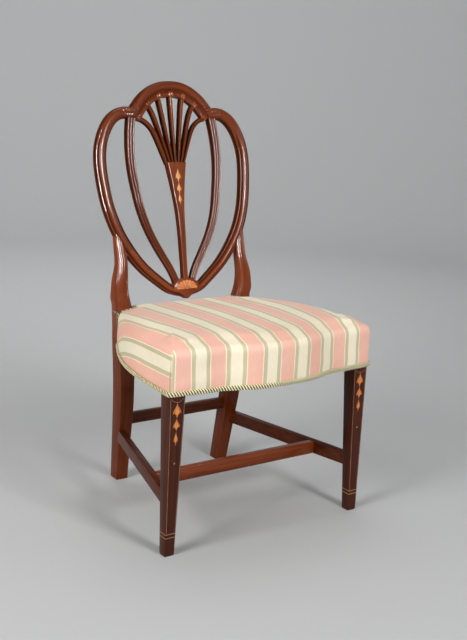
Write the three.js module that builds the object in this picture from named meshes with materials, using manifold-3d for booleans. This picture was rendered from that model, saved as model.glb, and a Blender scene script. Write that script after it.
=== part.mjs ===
// A shield back dining chair with a stuffed seat, in millimetres.
// +Z is up, the chair faces -Y, and right means +X, as seen from the front.
// Heights are measured from the floor and depths from the front face of the front legs.
// A table of shares gives places as parts of the named sizes that its comment names.

import * as THREE from 'three';
import Module from 'manifold-3d';

const wasm = await Module();
wasm.setup();

// Fits
const fitGap = 0.3; // space between pieces that touch
const overrun = 3; // how far a cutter or a joint's root passes the face that it meets

// Front legs
const seatHalfWidth = 262.6; // outer face of a front leg from the middle
const legSquare = 37.5;
const legFootSquare = 23.2;

// Seat rails
const railBottom = 358;
const railHeight = 66;
const railThickness = 22;
const frontBow = 34.5; // middle of the front rail ahead of the front legs
const railTenonThickness = 9.5;
const railTenonLength = 20;
const railTenonShoulder = 6; // above and below each rail tenon
const tenonWall = 2; // wood left between two tenons that meet in a leg
const cornerBlockReach = 85; // leg of the triangle of a corner block
const cornerBlockHeight = 38;

// Rear posts, up to where they run into the shield
const postSetback = 393; // middle of a post at the seat behind the front legs' faces
const postKick = 36.5; // how much further back the foot stands
const postOuter = 191; // widest outer face from the middle, just above the rails
const postWidth = 46;
const postDepth = 42.5;
const postEdge = 3.2; // flat that eases each long edge
const neckRise = 126; // where a post turns into the shield's side, above the rails

// Shield
const shieldLift = 46.5; // middle of the lower rail's moulding at the point, above the rails
const shieldRake = 12.66; // degrees that the back leans
const shieldHalfWidth = 200; // middle of a stile at the widest place
const shieldRise = 423.5; // from there to the middle of a side arch where it meets the centre arch
const shieldAdvance = 5.8; // its middle plane ahead of the posts at the height of the tip
const frameWidth = 28;
const frameTipWidth = 21; // at the shield's point
const frameDepth = 25;
const crestJointDrop = 72; // joint of stile and crest below the shoulder
const lowerJointRise = 107.5; // joint of post and lower rail above the tip
const archHalfWidth = 104; // middle of the centre arch where it meets the side arches
const archRise = 56; // middle of the centre arch's top above the shoulder
const archBand = 38.5;
const shieldTenonLength = 18;
const shieldTenonWidth = 13;
const shieldTenonThickness = 8;

// Ribs
const ribWidth = 21;
const ribDepth = 20;
const ribFootWidth = 17;
const ribFootDepth = 12.5;
const ribBack = 2; // middle of a rib behind the shield's middle plane
const ribTenonLength = 9;
const ribTenonSquare = 9;

// Splat
const splatThickness = 11.5;
const splatForward = 2; // middle of the splat ahead of the shield's middle plane
const fanBaseDrop = 116; // where the panel divides into tines, below the shoulder
const fanBaseHalfWidth = 25.5;
const splatWaist = 13;
const tineCount = 7;
const tineBaseWidth = 5.2;
const tineTopWidth = 12;
const tineTenonLength = 6;

// Fan block at the point of the shield
const fanBlockHalfWidth = 37;
const fanBlockRise = 41.5; // top of the block above the tip
const fanInlayMargin = 3;

// Stretchers
const stretcherHeight = 30;
const stretcherThickness = 16;
const stretcherTop = 138;
const rearStretcherTop = 175;
const rearStretcherHeight = 27;
const medialSetback = 127; // middle of the medial stretcher
const sideStretcherInset = 3; // outer face in from the legs' outer face
const stretcherTenonThickness = 8;
const stretcherTenonShoulder = 5;
const stretcherTenonLength = 14;
const medialTenonLength = 9;

// Inlays
const inlayThickness = 1;
const huskWidths = [20, 17, 11]; // on a leg, from the top
const huskHeights = [32, 27, 30];
const huskDrop = 16; // top husk's tip below the rails
const huskSpace = 1.6;
const splatHuskWidths = [16, 14, 10];
const splatHuskHeights = [31, 24, 24];
const splatHuskDrop = 15.5; // top husk's tip below the tines' base
const dotDiameter = 4;
const dotDrop = 39.8; // dot's middle below the bottom husk
const cuffWidth = 1.6;
const cuffHeights = [42.5, 51];
const stringWidth = 1.2;
const stringInset = 1.6; // from the leg's edge to the line
const stringDrop = 8; // lines' upper end below the rails

// Seat
const webbingWidth = 50;
const webbingThickness = 1.2;
const webbingPitch = 92;
const webbingMiddle = 192; // middle cross strip behind the front legs' faces
const webbingCount = 3;
const webbingInset = 6; // strip's end in from the rail's outer face
const hessianThickness = 1;
const coverThickness = 3;
const coverCorner = 6; // radius of the cover's front corners
const padRise = 31; // top of the cover at its edges above the rails
const seatCrown = 14.5; // middle of the seat above its edges
const rearDrop = 14; // how much lower the cover is at its rear edge
const rearDropReach = 300; // how far forward the drop begins
const sideBulge = 2.2; // how far the cover's walls swell
const trimHeight = 11;
const trimThickness = 7;

// Serpentine front, as shares of half the width and of the bow
const frontShares = [[0, 1], [0.21, 0.95], [0.36, 0.69], [0.45, 0.47], [0.56, 0.27], [0.7, 0.2], [0.85, 0.1],
  [1, 0]];
// Bowed side, as shares of the depth to the post and of the width that the seat loses
const sideShares = [[0, 1], [0.11, 1], [0.22, 0.985], [0.34, 0.955], [0.47, 0.89], [0.63, 0.73], [0.78, 0.48],
  [0.91, 0.21], [1, 0]];
const lastFrontShare = 0.94; // where the front's stations end, short of the leg's corner
const firstSideShare = 0.07; // where the side's stations begin
// Rear post, as shares of the neck's height, which run from 1 to 2 between the neck and the
// post's end behind the stile, then of the outer face, the width, the depth, the kick,
// and the way from the seat's setback to the shield's plane
const postShares = [
  [0, 0.852, 0.657, 0.824, 1, 0],
  [0.18, 0.88, 0.713, 0.894, 0.616, 0],
  [0.36, 0.908, 0.785, 0.976, 0.233, 0],
  [0.5, 0.924, 0.804, 1, 0.12, 0],
  [0.65, 0.958, 0.913, 0.941, 0.03, 0],
  [0.77, 0.984, 1, 0.86, 0, 0],
  [0.808, 1, 1, 0.8, 0, 0.03],
  [0.85, 0.997, 0.79, 0.776, 0, 0.09],
  [0.9, 0.9895, 0.678, 0.73, 0, 0.22],
  [0.955, 0.968, 0.624, 0.68, 0, 0.48],
  [1, 0.941, 0.585, 0.66, 0, 0.8],
  [1.32, 0.942, 0.56, 0.62, 0, 0.98],
  [1.65, 0.945, 0.52, 0.54, 0, 1],
  [2, 0.948, 0.46, 0.46, 0, 1],
];
// Heights of a post's sections, in the same shares
const postStationShares = [0, 0.1, 0.22, 0.34, 0.45, 0.55, 0.65, 0.72, 0.77, 0.805, 0.825, 0.85,
  0.875, 0.91, 0.95, 1, 1.25, 1.5, 1.75, 2];
const mergeInsetShare = 0.4; // post's outer face over the stile's middle where it ends, in the stile's width
// Stretch of a post that soft pieces are cut round, as shares of the same height
const notchShares = [0.5, 0.96];
// Shield's right half from the tip to the side arch's end, as shares of its
// half width and of its height from the tip to the shoulder
const shieldShares = [[0, 0], [0.178, 0.022], [0.253, 0.041], [0.38, 0.088], [0.515, 0.143], [0.635, 0.208],
  [0.73, 0.275], [0.81, 0.344], [0.875, 0.414], [0.93, 0.488], [0.967, 0.563], [0.99, 0.641], [1, 0.717],
  [0.99, 0.79], [0.951, 0.861], [0.885, 0.924], [0.79, 0.974], [0.66, 1], [0.5, 0.995]];
// Centre arch's right half, as shares of its half width and of its rise above the shoulder
const archShares = [[0, 1], [0.26, 0.955], [0.48, 0.8], [0.69, 0.53], [0.86, 0.2], [1, -0.15]];
// Rib, as shares of the half width and of the height from the tip to the shoulder
const ribShares = [[0.11, 0.063], [0.16, 0.124], [0.218, 0.176], [0.28, 0.228], [0.395, 0.336],
  [0.49, 0.448], [0.553, 0.561], [0.592, 0.677], [0.601, 0.792], [0.581, 0.906], [0.556, 0.975]];
// Splat's panel from the fan down to the block, as shares of its height, and how far its
// edge has gone from half the waist to half the fan's base
const panelShares = [[1, 1], [0.858, 0.637], [0.72, 0.353], [0.616, 0.19], [0.5, 0.1], [0.356, 0.05],
  [0.2, 0], [0, 0]];
const tineCurlShare = 0.4; // part of the outer tines' spread that comes at the very top
const tineCurlPower = 8;
const tineReachShare = 0.955; // how far round the centre arch the outer tines meet it
const tineTenonShare = 0.55; // a tenon's width and thickness in its tine's or panel's
// Moulded section, as shares of half its width and of its depth from the back
const mouldedShares = [[-0.78, 0], [0.78, 0], [1, 0.2], [1, 0.56], [0.82, 0.72], [0.62, 0.74], [0.36, 0.94],
  [0, 1], [-0.36, 0.94], [-0.62, 0.74], [-0.82, 0.72], [-1, 0.56], [-1, 0.2]];
// Rounded section of the crest, in the same shares
const crestSectionShares = [[-0.8, 0], [0.8, 0], [1, 0.22], [1, 0.6], [0.74, 0.87], [0.3, 1], [-0.3, 1],
  [-0.74, 0.87], [-1, 0.6], [-1, 0.22]];
// Reeded section of a rib, in the same shares
const reededShares = [[-0.75, 0], [0.75, 0], [1, 0.25], [1, 0.7], [0.72, 0.93], [0.36, 0.84], [0, 1],
  [-0.36, 0.84], [-0.72, 0.93], [-1, 0.7], [-1, 0.25]];
// Section of a tine, in the same shares
const tineSectionShares = [[-1, 0], [1, 0], [1, 0.66], [0.45, 1], [-0.45, 1], [-1, 0.66]];
// Right half of a husk, as shares of its width and of its height from the bottom
const huskShares = [[0, 1], [0.14, 0.84], [0.5, 0.52], [0.34, 0.4], [0.16, 0.33], [0.12, 0.12], [0, 0]];
// Crowned top of the seat, as shares of the way out from the middle and of the crown
const crownShares = [[0.14, 1], [0.4, 0.97], [0.65, 0.88], [0.82, 0.7], [0.925, 0.38], [0.98, -0.1]];
// Cover's wall down the rails, as shares of the rail's height and of the swell
const wallShares = [[1, 0.8], [0.6, 1], [0.17, 0], [0, 0]];
const shoulderUpShare = 0.45; // height of the cover's shoulder between the rail's top and the seat's edge
const shoulderOutShare = 0.99; // how far out the shoulder lies
// Rows of names for what repeats downwards or upwards
const huskNames = ['top', 'middle', 'bottom'];
const cuffNames = ['lower', 'upper'];

// Colours and finishes
function finish(name, color, roughness) {
  return new THREE.MeshStandardMaterial({ name, color, roughness, metalness: 0 });
}

const mahogany = () => finish('mahogany', 0x5c2817, 0.35);
const darkMahogany = () => finish('dark_mahogany', 0x45190f, 0.4);
const beech = () => finish('beech', 0xa98252, 0.7);
const satinwood = () => finish('satinwood', 0xd08a3c, 0.4);
const boxwood = () => finish('boxwood', 0xc9a56b, 0.45);
const linen = () => finish('linen', 0xa08c66, 0.95);
const horsehair = () => finish('horsehair', 0x3b2f26, 1);
const silk = () => finish('striped_silk', 0xd9a79a, 0.75);
const cord = () => finish('trim_cord', 0xb9ab78, 0.85);

// Lists of points
function mirrorHalf(half) {
  const other = half.filter(([u]) => u > 0).map(([u, v]) => [-u, v]).reverse();
  return [...other, ...half];
}

// Places a smooth line through the points of a table and gives it back as points.
function smoothLine(points, steps) {
  const curve = new THREE.SplineCurve(points.map(([u, v]) => new THREE.Vector2(u, v)));
  return curve.getPoints(steps).map((point) => [point.x, point.y]);
}

function valueAt(line, along) {
  const next = line.findIndex(([u], index) => index > 0 && u >= along);
  const end = next < 0 ? line.length - 1 : next;
  const [u0, v0] = line[end - 1];
  const [u1, v1] = line[end];
  return v0 + ((along - u0) / (u1 - u0)) * (v1 - v0);
}

// Every column of a table at one value of its first, on a smooth curve through the rows.
function rowAt(rows, key) {
  const found = rows.findIndex((row, index) => index > 0 && row[0] >= key);
  const high = found < 0 ? rows.length - 1 : found;
  const low = high - 1;
  const span = rows[high][0] - rows[low][0];
  const part = (key - rows[low][0]) / span;
  const slope = (index, column) => {
    const before = rows[Math.max(index - 1, 0)];
    const after = rows[Math.min(index + 1, rows.length - 1)];
    return (after[column] - before[column]) / (after[0] - before[0]);
  };
  return rows[low].map((value, column) => {
    const rise = rows[high][column] - value;
    const first = slope(low, column) * span - rise;
    const last = rise - slope(high, column) * span;
    return value + part * rise + part * (1 - part) * ((1 - part) * first + part * last);
  });
}

function anticlockwise(outline) {
  const flat = outline.map(([u, v]) => new THREE.Vector2(u, v));
  return THREE.ShapeUtils.isClockWise(flat) ? [...outline].reverse() : outline;
}

// Moves each side of an outline outward by one distance.
function grownOutline(outline, distance) {
  const points = anticlockwise(outline).map(([u, v]) => new THREE.Vector2(u, v));
  const count = points.length;
  const normals = points.map((point, index) => {
    const side = points[(index + 1) % count].clone().sub(point).normalize();
    return new THREE.Vector2(side.y, -side.x);
  });
  return points.map((point, index) => {
    const before = normals[(index + count - 1) % count];
    const after = normals[index];
    const push = before.clone().add(after).multiplyScalar(distance / (1 + before.dot(after)));
    return [point.x + push.x, point.y + push.y];
  });
}

// Solids
function closedSolid(points, triangles) {
  let volume = 0;
  for (const [a, b, c] of triangles) volume += points[a].dot(points[b].clone().cross(points[c]));
  const faces = volume < 0 ? triangles.map(([a, b, c]) => [a, c, b]) : triangles;
  const vertProperties = new Float32Array(points.flatMap((point) => point.toArray()));
  const triVerts = new Uint32Array(faces.flat());
  return new wasm.Manifold(new wasm.Mesh({ numProp: 3, vertProperties, triVerts }));
}

// Skins a row of rings that have the same number of points, and closes both ends.
function loft(rings) {
  const points = rings.flat();
  const triangles = [];
  const count = rings[0].length;
  for (let row = 1; row < rings.length; row += 1) {
    for (let index = 0; index < count; index += 1) {
      const next = (index + 1) % count;
      const low = (row - 1) * count;
      const high = row * count;
      triangles.push([low + index, low + next, high + next], [low + index, high + next, high + index]);
    }
  }
  for (const row of [0, rings.length - 1]) {
    const middle = new THREE.Vector3();
    for (const point of rings[row]) middle.addScaledVector(point, 1 / count);
    points.push(middle);
    for (let index = 0; index < count; index += 1) {
      const a = row * count + index;
      const b = row * count + ((index + 1) % count);
      triangles.push(row === 0 ? [points.length - 1, b, a] : [points.length - 1, a, b]);
    }
  }
  return closedSolid(points, triangles);
}

// Runs an outline from one depth to another; place turns its two values and a depth into a point.
function prism(outline, place, near, far) {
  const sides = anticlockwise(outline);
  const count = sides.length;
  const caps = THREE.ShapeUtils.triangulateShape(sides.map(([u, v]) => new THREE.Vector2(u, v)), []);
  const points = [near, far].flatMap((depth) => sides.map(([u, v]) => place(u, v, depth)));
  const wall = sides.flatMap((point, index) => {
    const next = (index + 1) % count;
    return [[index, next, count + next], [index, count + next, count + index]];
  });
  const bottom = caps.map(([a, b, c]) => [a, c, b]);
  const top = caps.map((cap) => cap.map((index) => index + count));
  return closedSolid(points, [...bottom, ...top, ...wall]);
}

const inPlan = (x, y, z) => new THREE.Vector3(x, y, z);
const inFront = (x, z, y) => new THREE.Vector3(x, y, z);

function block(low, high, grow = 0) {
  const outline = [[low[0], low[1]], [high[0], low[1]], [high[0], high[1]], [low[0], high[1]]];
  return prism(grownOutline(outline, grow), inPlan, low[2] - grow, high[2] + grow);
}

function mirrored(solid) {
  const mesh = solid.getMesh();
  const vertProperties = mesh.vertProperties.map((value, index) => (index % 3 === 0 ? -value : value));
  const triVerts = mesh.triVerts.slice();
  for (let index = 0; index < triVerts.length; index += 3) {
    triVerts[index + 1] = mesh.triVerts[index + 2];
    triVerts[index + 2] = mesh.triVerts[index + 1];
  }
  return new wasm.Manifold(new wasm.Mesh({ numProp: 3, vertProperties, triVerts }));
}

function joined(first, ...others) {
  return others.reduce((sum, other) => sum.add(other), first);
}

function cutBy(first, ...others) {
  return others.reduce((rest, other) => rest.subtract(other), first);
}

function geometryOf(solid) {
  const mesh = solid.getMesh();
  const geometry = new THREE.BufferGeometry();
  geometry.setAttribute('position', new THREE.BufferAttribute(mesh.vertProperties, 3));
  geometry.setIndex(new THREE.BufferAttribute(mesh.triVerts, 1));
  geometry.computeVertexNormals();
  return geometry;
}

// Chair
const chair = new THREE.Group();

function add(name, solid, material) {
  const mesh = new THREE.Mesh(geometryOf(solid), material);
  mesh.name = name;
  chair.add(mesh);
}

function addPair(name, solid, makeMaterial) {
  add(`${name}_right`, solid, makeMaterial());
  add(`${name}_left`, mirrored(solid), makeMaterial());
}

// Heights worked out from those below them
const railTop = railBottom + railHeight;
const seatEdgeHeight = railTop + padRise;
const neckHeight = railTop + neckRise;
const shieldTip = railTop + shieldLift;
const shieldShoulder = shieldTip + shieldRise;
const fanBlockTop = shieldTip + fanBlockRise;
const fanBase = shieldShoulder - fanBaseDrop;

// Shield's plane
const shieldSetback = postSetback - shieldAdvance;
const rakeAngle = THREE.MathUtils.degToRad(shieldRake);
const planeNormal = new THREE.Vector3(0, -Math.cos(rakeAngle), Math.sin(rakeAngle));

function planeDepth(height) {
  return shieldSetback + Math.tan(rakeAngle) * (height - shieldTip);
}

// A point of the shield at one width and height, moved forward from its middle plane.
function inShield(x, height, forward) {
  const point = new THREE.Vector3(x, planeDepth(height), height);
  return point.addScaledVector(planeNormal, forward);
}

function shieldCurve(points) {
  return new THREE.CatmullRomCurve3(points.map(([x, height]) => inShield(x, height, 0)));
}

const sizeAt = (size, place) => (typeof size === 'function' ? size(place) : size);

// Runs a section along a stretch of a curve in the shield's plane, with sizes that may change on the way.
function sweep(curve, start, end, steps, section, width, depth, grow = 0, forward = 0) {
  const rings = [];
  for (let step = 0; step <= steps; step += 1) {
    const place = start + ((end - start) * step) / steps;
    const inside = THREE.MathUtils.clamp(place, 0, 1);
    const centre = curve.getPointAt(inside);
    const along = curve.getTangentAt(inside);
    const across = along.clone().cross(planeNormal).normalize();
    centre.addScaledVector(along, (place - inside) * curve.getLength());
    const half = sizeAt(width, inside) / 2 + grow;
    const thick = sizeAt(depth, inside) + 2 * grow;
    rings.push(section.map(([a, b]) => centre.clone()
      .addScaledVector(across, a * half)
      .addScaledVector(planeNormal, forward + (b - 0.5) * thick)));
  }
  return loft(rings);
}

// The place on a stretch of a curve where it grows to a value along an axis.
function placeWhere(curve, axis, value, low, high) {
  let [bottom, top] = [low, high];
  for (let round = 0; round < 30; round += 1) {
    const middle = (bottom + top) / 2;
    if (curve.getPointAt(middle)[axis] < value) bottom = middle;
    else top = middle;
  }
  return bottom;
}

const squareShares = [[-1, 0], [1, 0], [1, 1], [-1, 1]];

// A straight tongue along a curve's direction at a place, from its root behind to its tip ahead.
function tongue(curve, place, direction, root, length, width, depth, grow, forward = 0) {
  const centre = curve.getPointAt(place);
  const along = curve.getTangentAt(place).multiplyScalar(direction);
  const across = along.clone().cross(planeNormal).normalize();
  const ring = (distance) => squareShares.map(([a, b]) => centre.clone()
    .addScaledVector(along, distance)
    .addScaledVector(across, a * (width / 2 + grow))
    .addScaledVector(planeNormal, forward + (b - 0.5) * (depth + 2 * grow)));
  return loft([ring(-root), ring(length + grow)]);
}

// Shield's frame
const frameLine = shieldShares.map(([x, rise]) => [x * shieldHalfWidth, shieldTip + rise * shieldRise]);
const archLine = archShares.map(([x, rise]) => [x * archHalfWidth, shieldShoulder + rise * archRise]);
const frameCurve = shieldCurve(frameLine);
const archCurve = shieldCurve(mirrorHalf(archLine));
const crestJointHeight = shieldShoulder - crestJointDrop;
const lowerJointHeight = shieldTip + lowerJointRise;
const lowerCurve = shieldCurve(mirrorHalf(frameLine.filter(([, height]) => height < crestJointHeight)));
const lowerJoint = placeWhere(frameCurve, 'z', lowerJointHeight, 0, 0.6);
const crestJoint = placeWhere(frameCurve, 'z', crestJointHeight, 0, 0.75);

// Front legs
function legSize(height) {
  return legFootSquare + (legSquare - legFootSquare) * Math.min(height / railBottom, 1);
}

function legRing(height, grow) {
  const size = legSize(height);
  const [near, far] = [seatHalfWidth - size - grow, seatHalfWidth + grow];
  return [[near, -grow], [far, -grow], [far, size + grow], [near, size + grow]]
    .map(([x, y]) => new THREE.Vector3(x, y, height));
}

function legBody(grow = 0) {
  const top = legRing(railTop, grow).map((point) => point.setZ(railTop + grow));
  const foot = legRing(0, grow).map((point) => point.setZ(-grow));
  return loft([foot, legRing(railBottom, grow), top]);
}

const legGrown = legBody(fitGap);
const legsGrown = joined(legGrown, mirrored(legGrown));

// Rear posts
const lastPostRow = postShares[postShares.length - 1];
const mergeX = postOuter * lastPostRow[1] - frameWidth * mergeInsetShare;
const mergePlace = placeWhere(frameCurve, 'x', mergeX, 0, 0.6);
const mergeHeight = Math.max(frameCurve.getPointAt(mergePlace).z, neckHeight + frameWidth);

function postHeight(share) {
  if (share < 1) return share * neckHeight;
  return neckHeight + (share - 1) * (mergeHeight - neckHeight);
}

function postAt(height) {
  const above = (height - neckHeight) / (mergeHeight - neckHeight);
  const row = rowAt(postShares, height < neckHeight ? height / neckHeight : 1 + above);
  const [, outerShare, widthShare, depthShare, kickShare, planeShare] = row;
  const outer = postOuter * outerShare;
  const inner = outer - postWidth * widthShare;
  const lean = planeDepth(Math.max(height, neckHeight)) - postSetback;
  const middle = postSetback + postKick * kickShare + lean * planeShare;
  const halfDepth = (postDepth * depthShare) / 2;
  return { outer, inner, middle, front: middle - halfDepth, back: middle + halfDepth };
}

function postBody(grow = 0) {
  const last = postStationShares.length - 1;
  const rings = postStationShares.map((share, index) => {
    const height = postHeight(share);
    const { outer, inner, front, back } = postAt(height);
    const [low, high, near, far] = [inner - grow, outer + grow, front - grow, back + grow];
    const end = (index === 0 ? -grow : 0) + (index === last ? grow : 0);
    return [[low + postEdge, near], [high - postEdge, near], [high, near + postEdge], [high, far - postEdge],
      [high - postEdge, far], [low + postEdge, far], [low, far - postEdge], [low, near + postEdge]]
      .map(([x, y]) => new THREE.Vector3(x, y, height + end));
  });
  return loft(rings);
}

// All that lies behind a post's front face and outside its inner face, for soft pieces cut round it.
function postNotch() {
  const stations = postStationShares.filter((share) => share > notchShares[0] && share < notchShares[1]);
  const far = seatHalfWidth + postWidth;
  return loft(stations.map((share) => {
    const height = postHeight(share);
    const { inner, front, back } = postAt(height);
    return [[inner - fitGap, front - fitGap], [far, front - fitGap], [far, back + postWidth],
      [inner - fitGap, back + postWidth]].map(([x, y]) => new THREE.Vector3(x, y, height));
  }));
}

const notch = postNotch();
const notches = joined(notch, mirrored(notch));

// Stiles and crest
function stile(grow = 0) {
  const extra = grow / frameCurve.getLength();
  return sweep(frameCurve, lowerJoint - extra, crestJoint + extra, 16, mouldedShares,
    frameWidth, frameDepth, grow);
}

function crestBody(grow = 0) {
  const gapShare = (fitGap - grow) / frameCurve.getLength();
  const sideArch = sweep(frameCurve, crestJoint + gapShare, 1, 12, crestSectionShares,
    frameWidth, frameDepth, grow);
  const centreArch = sweep(archCurve, 0, 1, 22, crestSectionShares, archBand, frameDepth, grow);
  return joined(sideArch, mirrored(sideArch), centreArch);
}

function frameTongue(place, grow) {
  return tongue(frameCurve, place, 1, overrun, shieldTenonLength, shieldTenonWidth,
    shieldTenonThickness, grow);
}

const crestGrown = crestBody(fitGap);

// Fan block, a rounded top over the shield's point
function fanOutline(margin) {
  const half = fanBlockHalfWidth - margin;
  const base = shieldTip - frameWidth / 2;
  const spring = (base + fanBlockTop) / 2;
  const rise = fanBlockTop - margin - spring;
  const steps = 10;
  const top = Array.from({ length: steps + 1 }, (unused, step) => {
    const angle = (Math.PI * step) / steps;
    return [half * Math.cos(angle), spring + rise * Math.sin(angle)];
  });
  return [[0, base + 2 * margin], ...top];
}

function lowerRailBody(grow = 0) {
  const end = placeWhere(lowerCurve, 'z', lowerJointHeight, 0.5, 1);
  const width = (place) => {
    const out = Math.abs(place - 0.5) / (end - 0.5);
    return frameTipWidth + (frameWidth - frameTipWidth) * out;
  };
  const moulding = sweep(lowerCurve, 1 - end, end, 24, mouldedShares, width, frameDepth, grow);
  const fan = prism(fanOutline(-grow), inShield, -frameDepth / 2 - grow, frameDepth / 2 + grow);
  return joined(moulding, fan);
}

const lowerGrown = lowerRailBody(fitGap);

// Ribs
const ribLine = ribShares.map(([x, rise]) => [x * shieldHalfWidth, shieldTip + rise * shieldRise]);
const ribCurve = shieldCurve(ribLine);

function ribTongue(end, grow) {
  const direction = end === 0 ? -1 : 1;
  return tongue(ribCurve, end, direction, ribWidth, ribTenonLength, ribTenonSquare, ribTenonSquare,
    grow, -ribBack);
}

const ribBody = sweep(ribCurve, 0, 1, 15, reededShares,
  (place) => ribFootWidth + (ribWidth - ribFootWidth) * place,
  (place) => ribFootDepth + (ribDepth - ribFootDepth) * place, 0, -ribBack);
const rib = joined(cutBy(ribBody, crestGrown, lowerGrown), ribTongue(0, 0), ribTongue(1, 0));
addPair('rib', rib, mahogany);

// Splat
const panelBottom = fanBlockTop - frameWidth / 2;
const splatFront = splatForward + splatThickness / 2;
const splatBack = splatForward - splatThickness / 2;

function splatPanel() {
  const edge = smoothLine(panelShares, 12).map(([up, out]) => {
    const half = splatWaist / 2 + out * (fanBaseHalfWidth - splatWaist / 2);
    return [half, panelBottom + up * (fanBase - panelBottom)];
  });
  return prism([...edge, ...edge.map(([x, z]) => [-x, z]).reverse()], inShield, splatBack, splatFront);
}

// A tine's middle line, from inside the panel to its tenon's end in the centre arch.
function tineCurve(share) {
  const meet = 0.5 + (share * tineReachShare) / 2;
  const inward = archCurve.getTangentAt(meet).cross(planeNormal).normalize();
  const end = archCurve.getPointAt(meet).addScaledVector(inward, archBand / 2 - tineTenonLength);
  const startX = share * (fanBaseHalfWidth - tineBaseWidth / 2);
  const startZ = fanBase - overrun;
  const curl = tineCurlShare * share * share;
  const steps = 8;
  return shieldCurve(Array.from({ length: steps + 1 }, (unused, step) => {
    const part = step / steps;
    const spread = (1 - curl) * part + curl * part ** tineCurlPower;
    return [startX + (end.x - startX) * spread, startZ + (end.z - startZ) * part];
  }));
}

const tineCurves = Array.from({ length: tineCount }, (unused, index) => (
  tineCurve((2 * index) / (tineCount - 1) - 1)));

function tine(curve) {
  const width = (place) => tineBaseWidth + (tineTopWidth - tineBaseWidth) * place;
  return sweep(curve, 0, 1, 8, tineSectionShares, width, splatThickness, 0, splatForward);
}

function tineTongue(curve, grow) {
  const root = 2 * tineTenonLength;
  return tongue(curve, 1, 1, root, 0, tineTopWidth * tineTenonShare, splatThickness * tineTenonShare,
    grow, splatForward);
}

function splatTongue(grow) {
  const half = (splatWaist * tineTenonShare) / 2;
  const outline = [[-half, panelBottom - ribTenonLength], [half, panelBottom - ribTenonLength],
    [half, fanBlockTop + overrun], [-half, fanBlockTop + overrun]];
  const depth = (splatThickness * tineTenonShare) / 2;
  const sides = grownOutline(outline, grow);
  return prism(sides, inShield, splatForward - depth - grow, splatForward + depth + grow);
}

// A husk's outline round a middle line, from its bottom up.
function huskOutline(middle, bottom, width, height) {
  return mirrorHalf(huskShares.map(([out, up]) => [out * width, up * height]))
    .map(([x, z]) => [middle + x, bottom + z]);
}

// A row of husks downwards from a height, each with its own width and height.
function huskRow(top, widths, heights, middleAt) {
  let level = top;
  return widths.map((width, index) => {
    const bottom = level - heights[index];
    level = bottom - huskSpace;
    return huskOutline(middleAt(bottom + heights[index] / 2), bottom, width, heights[index]);
  });
}

const splatHusks = huskRow(fanBase - splatHuskDrop, splatHuskWidths, splatHuskHeights, () => 0);

function shieldInlay(outline, face) {
  return prism(outline, inShield, face - inlayThickness, face);
}

function shieldRecess(outline, face) {
  return prism(grownOutline(outline, fitGap), inShield, face - inlayThickness - fitGap, face + overrun);
}

const splatBody = cutBy(joined(splatPanel(), ...tineCurves.map(tine)), crestGrown, lowerGrown);
const splatWhole = joined(splatBody, splatTongue(0), ...tineCurves.map((curve) => tineTongue(curve, 0)));
const splatRecesses = splatHusks.map((outline) => shieldRecess(outline, splatFront));
add('splat', cutBy(splatWhole, ...splatRecesses), mahogany());
splatHusks.forEach((outline, index) => {
  add(`splat_husk_${huskNames[index]}`, shieldInlay(outline, splatFront), satinwood());
});

// Crest
const crestMortises = [...tineCurves.map((curve) => tineTongue(curve, fitGap)),
  frameTongue(crestJoint, fitGap), mirrored(frameTongue(crestJoint, fitGap)),
  ribTongue(1, fitGap), mirrored(ribTongue(1, fitGap))];
add('crest_rail', cutBy(crestBody(), ...crestMortises), mahogany());

// Rails' lines
const smoothFront = smoothLine(frontShares, 60);
const smoothSide = smoothLine(sideShares, 60);

function frontFace(x) {
  const along = Math.min(Math.abs(x) / seatHalfWidth, 1);
  return -frontBow * valueAt(smoothFront, along);
}

const railMiddle = railBottom + railHeight / 2;
const postSeat = postAt(railMiddle);

function sideFace(y) {
  const along = THREE.MathUtils.clamp(y / postSeat.front, 0, 1);
  return postSeat.outer + (seatHalfWidth - postSeat.outer) * valueAt(smoothSide, along);
}

function spread(from, to, steps) {
  return Array.from({ length: steps + 1 }, (unused, step) => from + ((to - from) * step) / steps);
}

// The rails and the cover share the same stations, so that their flats lie against each other.
const frontStations = spread(0, lastFrontShare, 9).map((share) => share * seatHalfWidth);
const sideStations = spread(firstSideShare, 1, 9).map((share) => share * postSeat.front);

// Front rail
const legInner = seatHalfWidth - legSquare;
const frontTenonMiddle = frontFace(legInner) + railThickness / 2;

function frontRailBody(grow = 0) {
  const front = mirrorHalf(frontStations.map((x) => [x, frontFace(x)]));
  const back = front.map(([x, y]) => [x, y + railThickness]).reverse();
  return prism(grownOutline([...front, ...back], grow), inPlan, railBottom - grow, railTop + grow);
}

function frontTenon(grow = 0) {
  const half = railTenonThickness / 2;
  return block([legInner - overrun, frontTenonMiddle - half, railBottom + railTenonShoulder],
    [legInner + railTenonLength, frontTenonMiddle + half, railTop - railTenonShoulder], grow);
}

// Side rails
const sideTenonMiddle = seatHalfWidth - railThickness / 2;
const sideTenonTip = frontTenonMiddle + railTenonThickness / 2 + tenonWall;
const sidePostTenonMiddle = postSeat.outer - railThickness / 2;

function sideRailBody(grow = 0, outward = 0) {
  const line = sideStations.map((y) => [sideFace(y), y]);
  line.push([postSeat.outer, postSeat.middle]);
  const outer = line.map(([x, y]) => [x + outward, y]);
  const inner = line.map(([x, y]) => [x - railThickness, y]).reverse();
  return prism(grownOutline([...outer, ...inner], grow), inPlan, railBottom - grow, railTop + grow);
}

function sideFrontTenon(grow = 0) {
  const half = railTenonThickness / 2;
  return block([sideTenonMiddle - half, sideTenonTip, railBottom + railTenonShoulder],
    [sideTenonMiddle + half, legSquare + overrun, railTop - railTenonShoulder], grow);
}

function sideRearTenon(grow = 0) {
  const half = railTenonThickness / 2;
  const root = postSeat.front - overrun;
  return block([sidePostTenonMiddle - half, root, railBottom + railTenonShoulder],
    [sidePostTenonMiddle + half, postSeat.front + railTenonLength, railTop - railTenonShoulder], grow);
}

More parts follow.
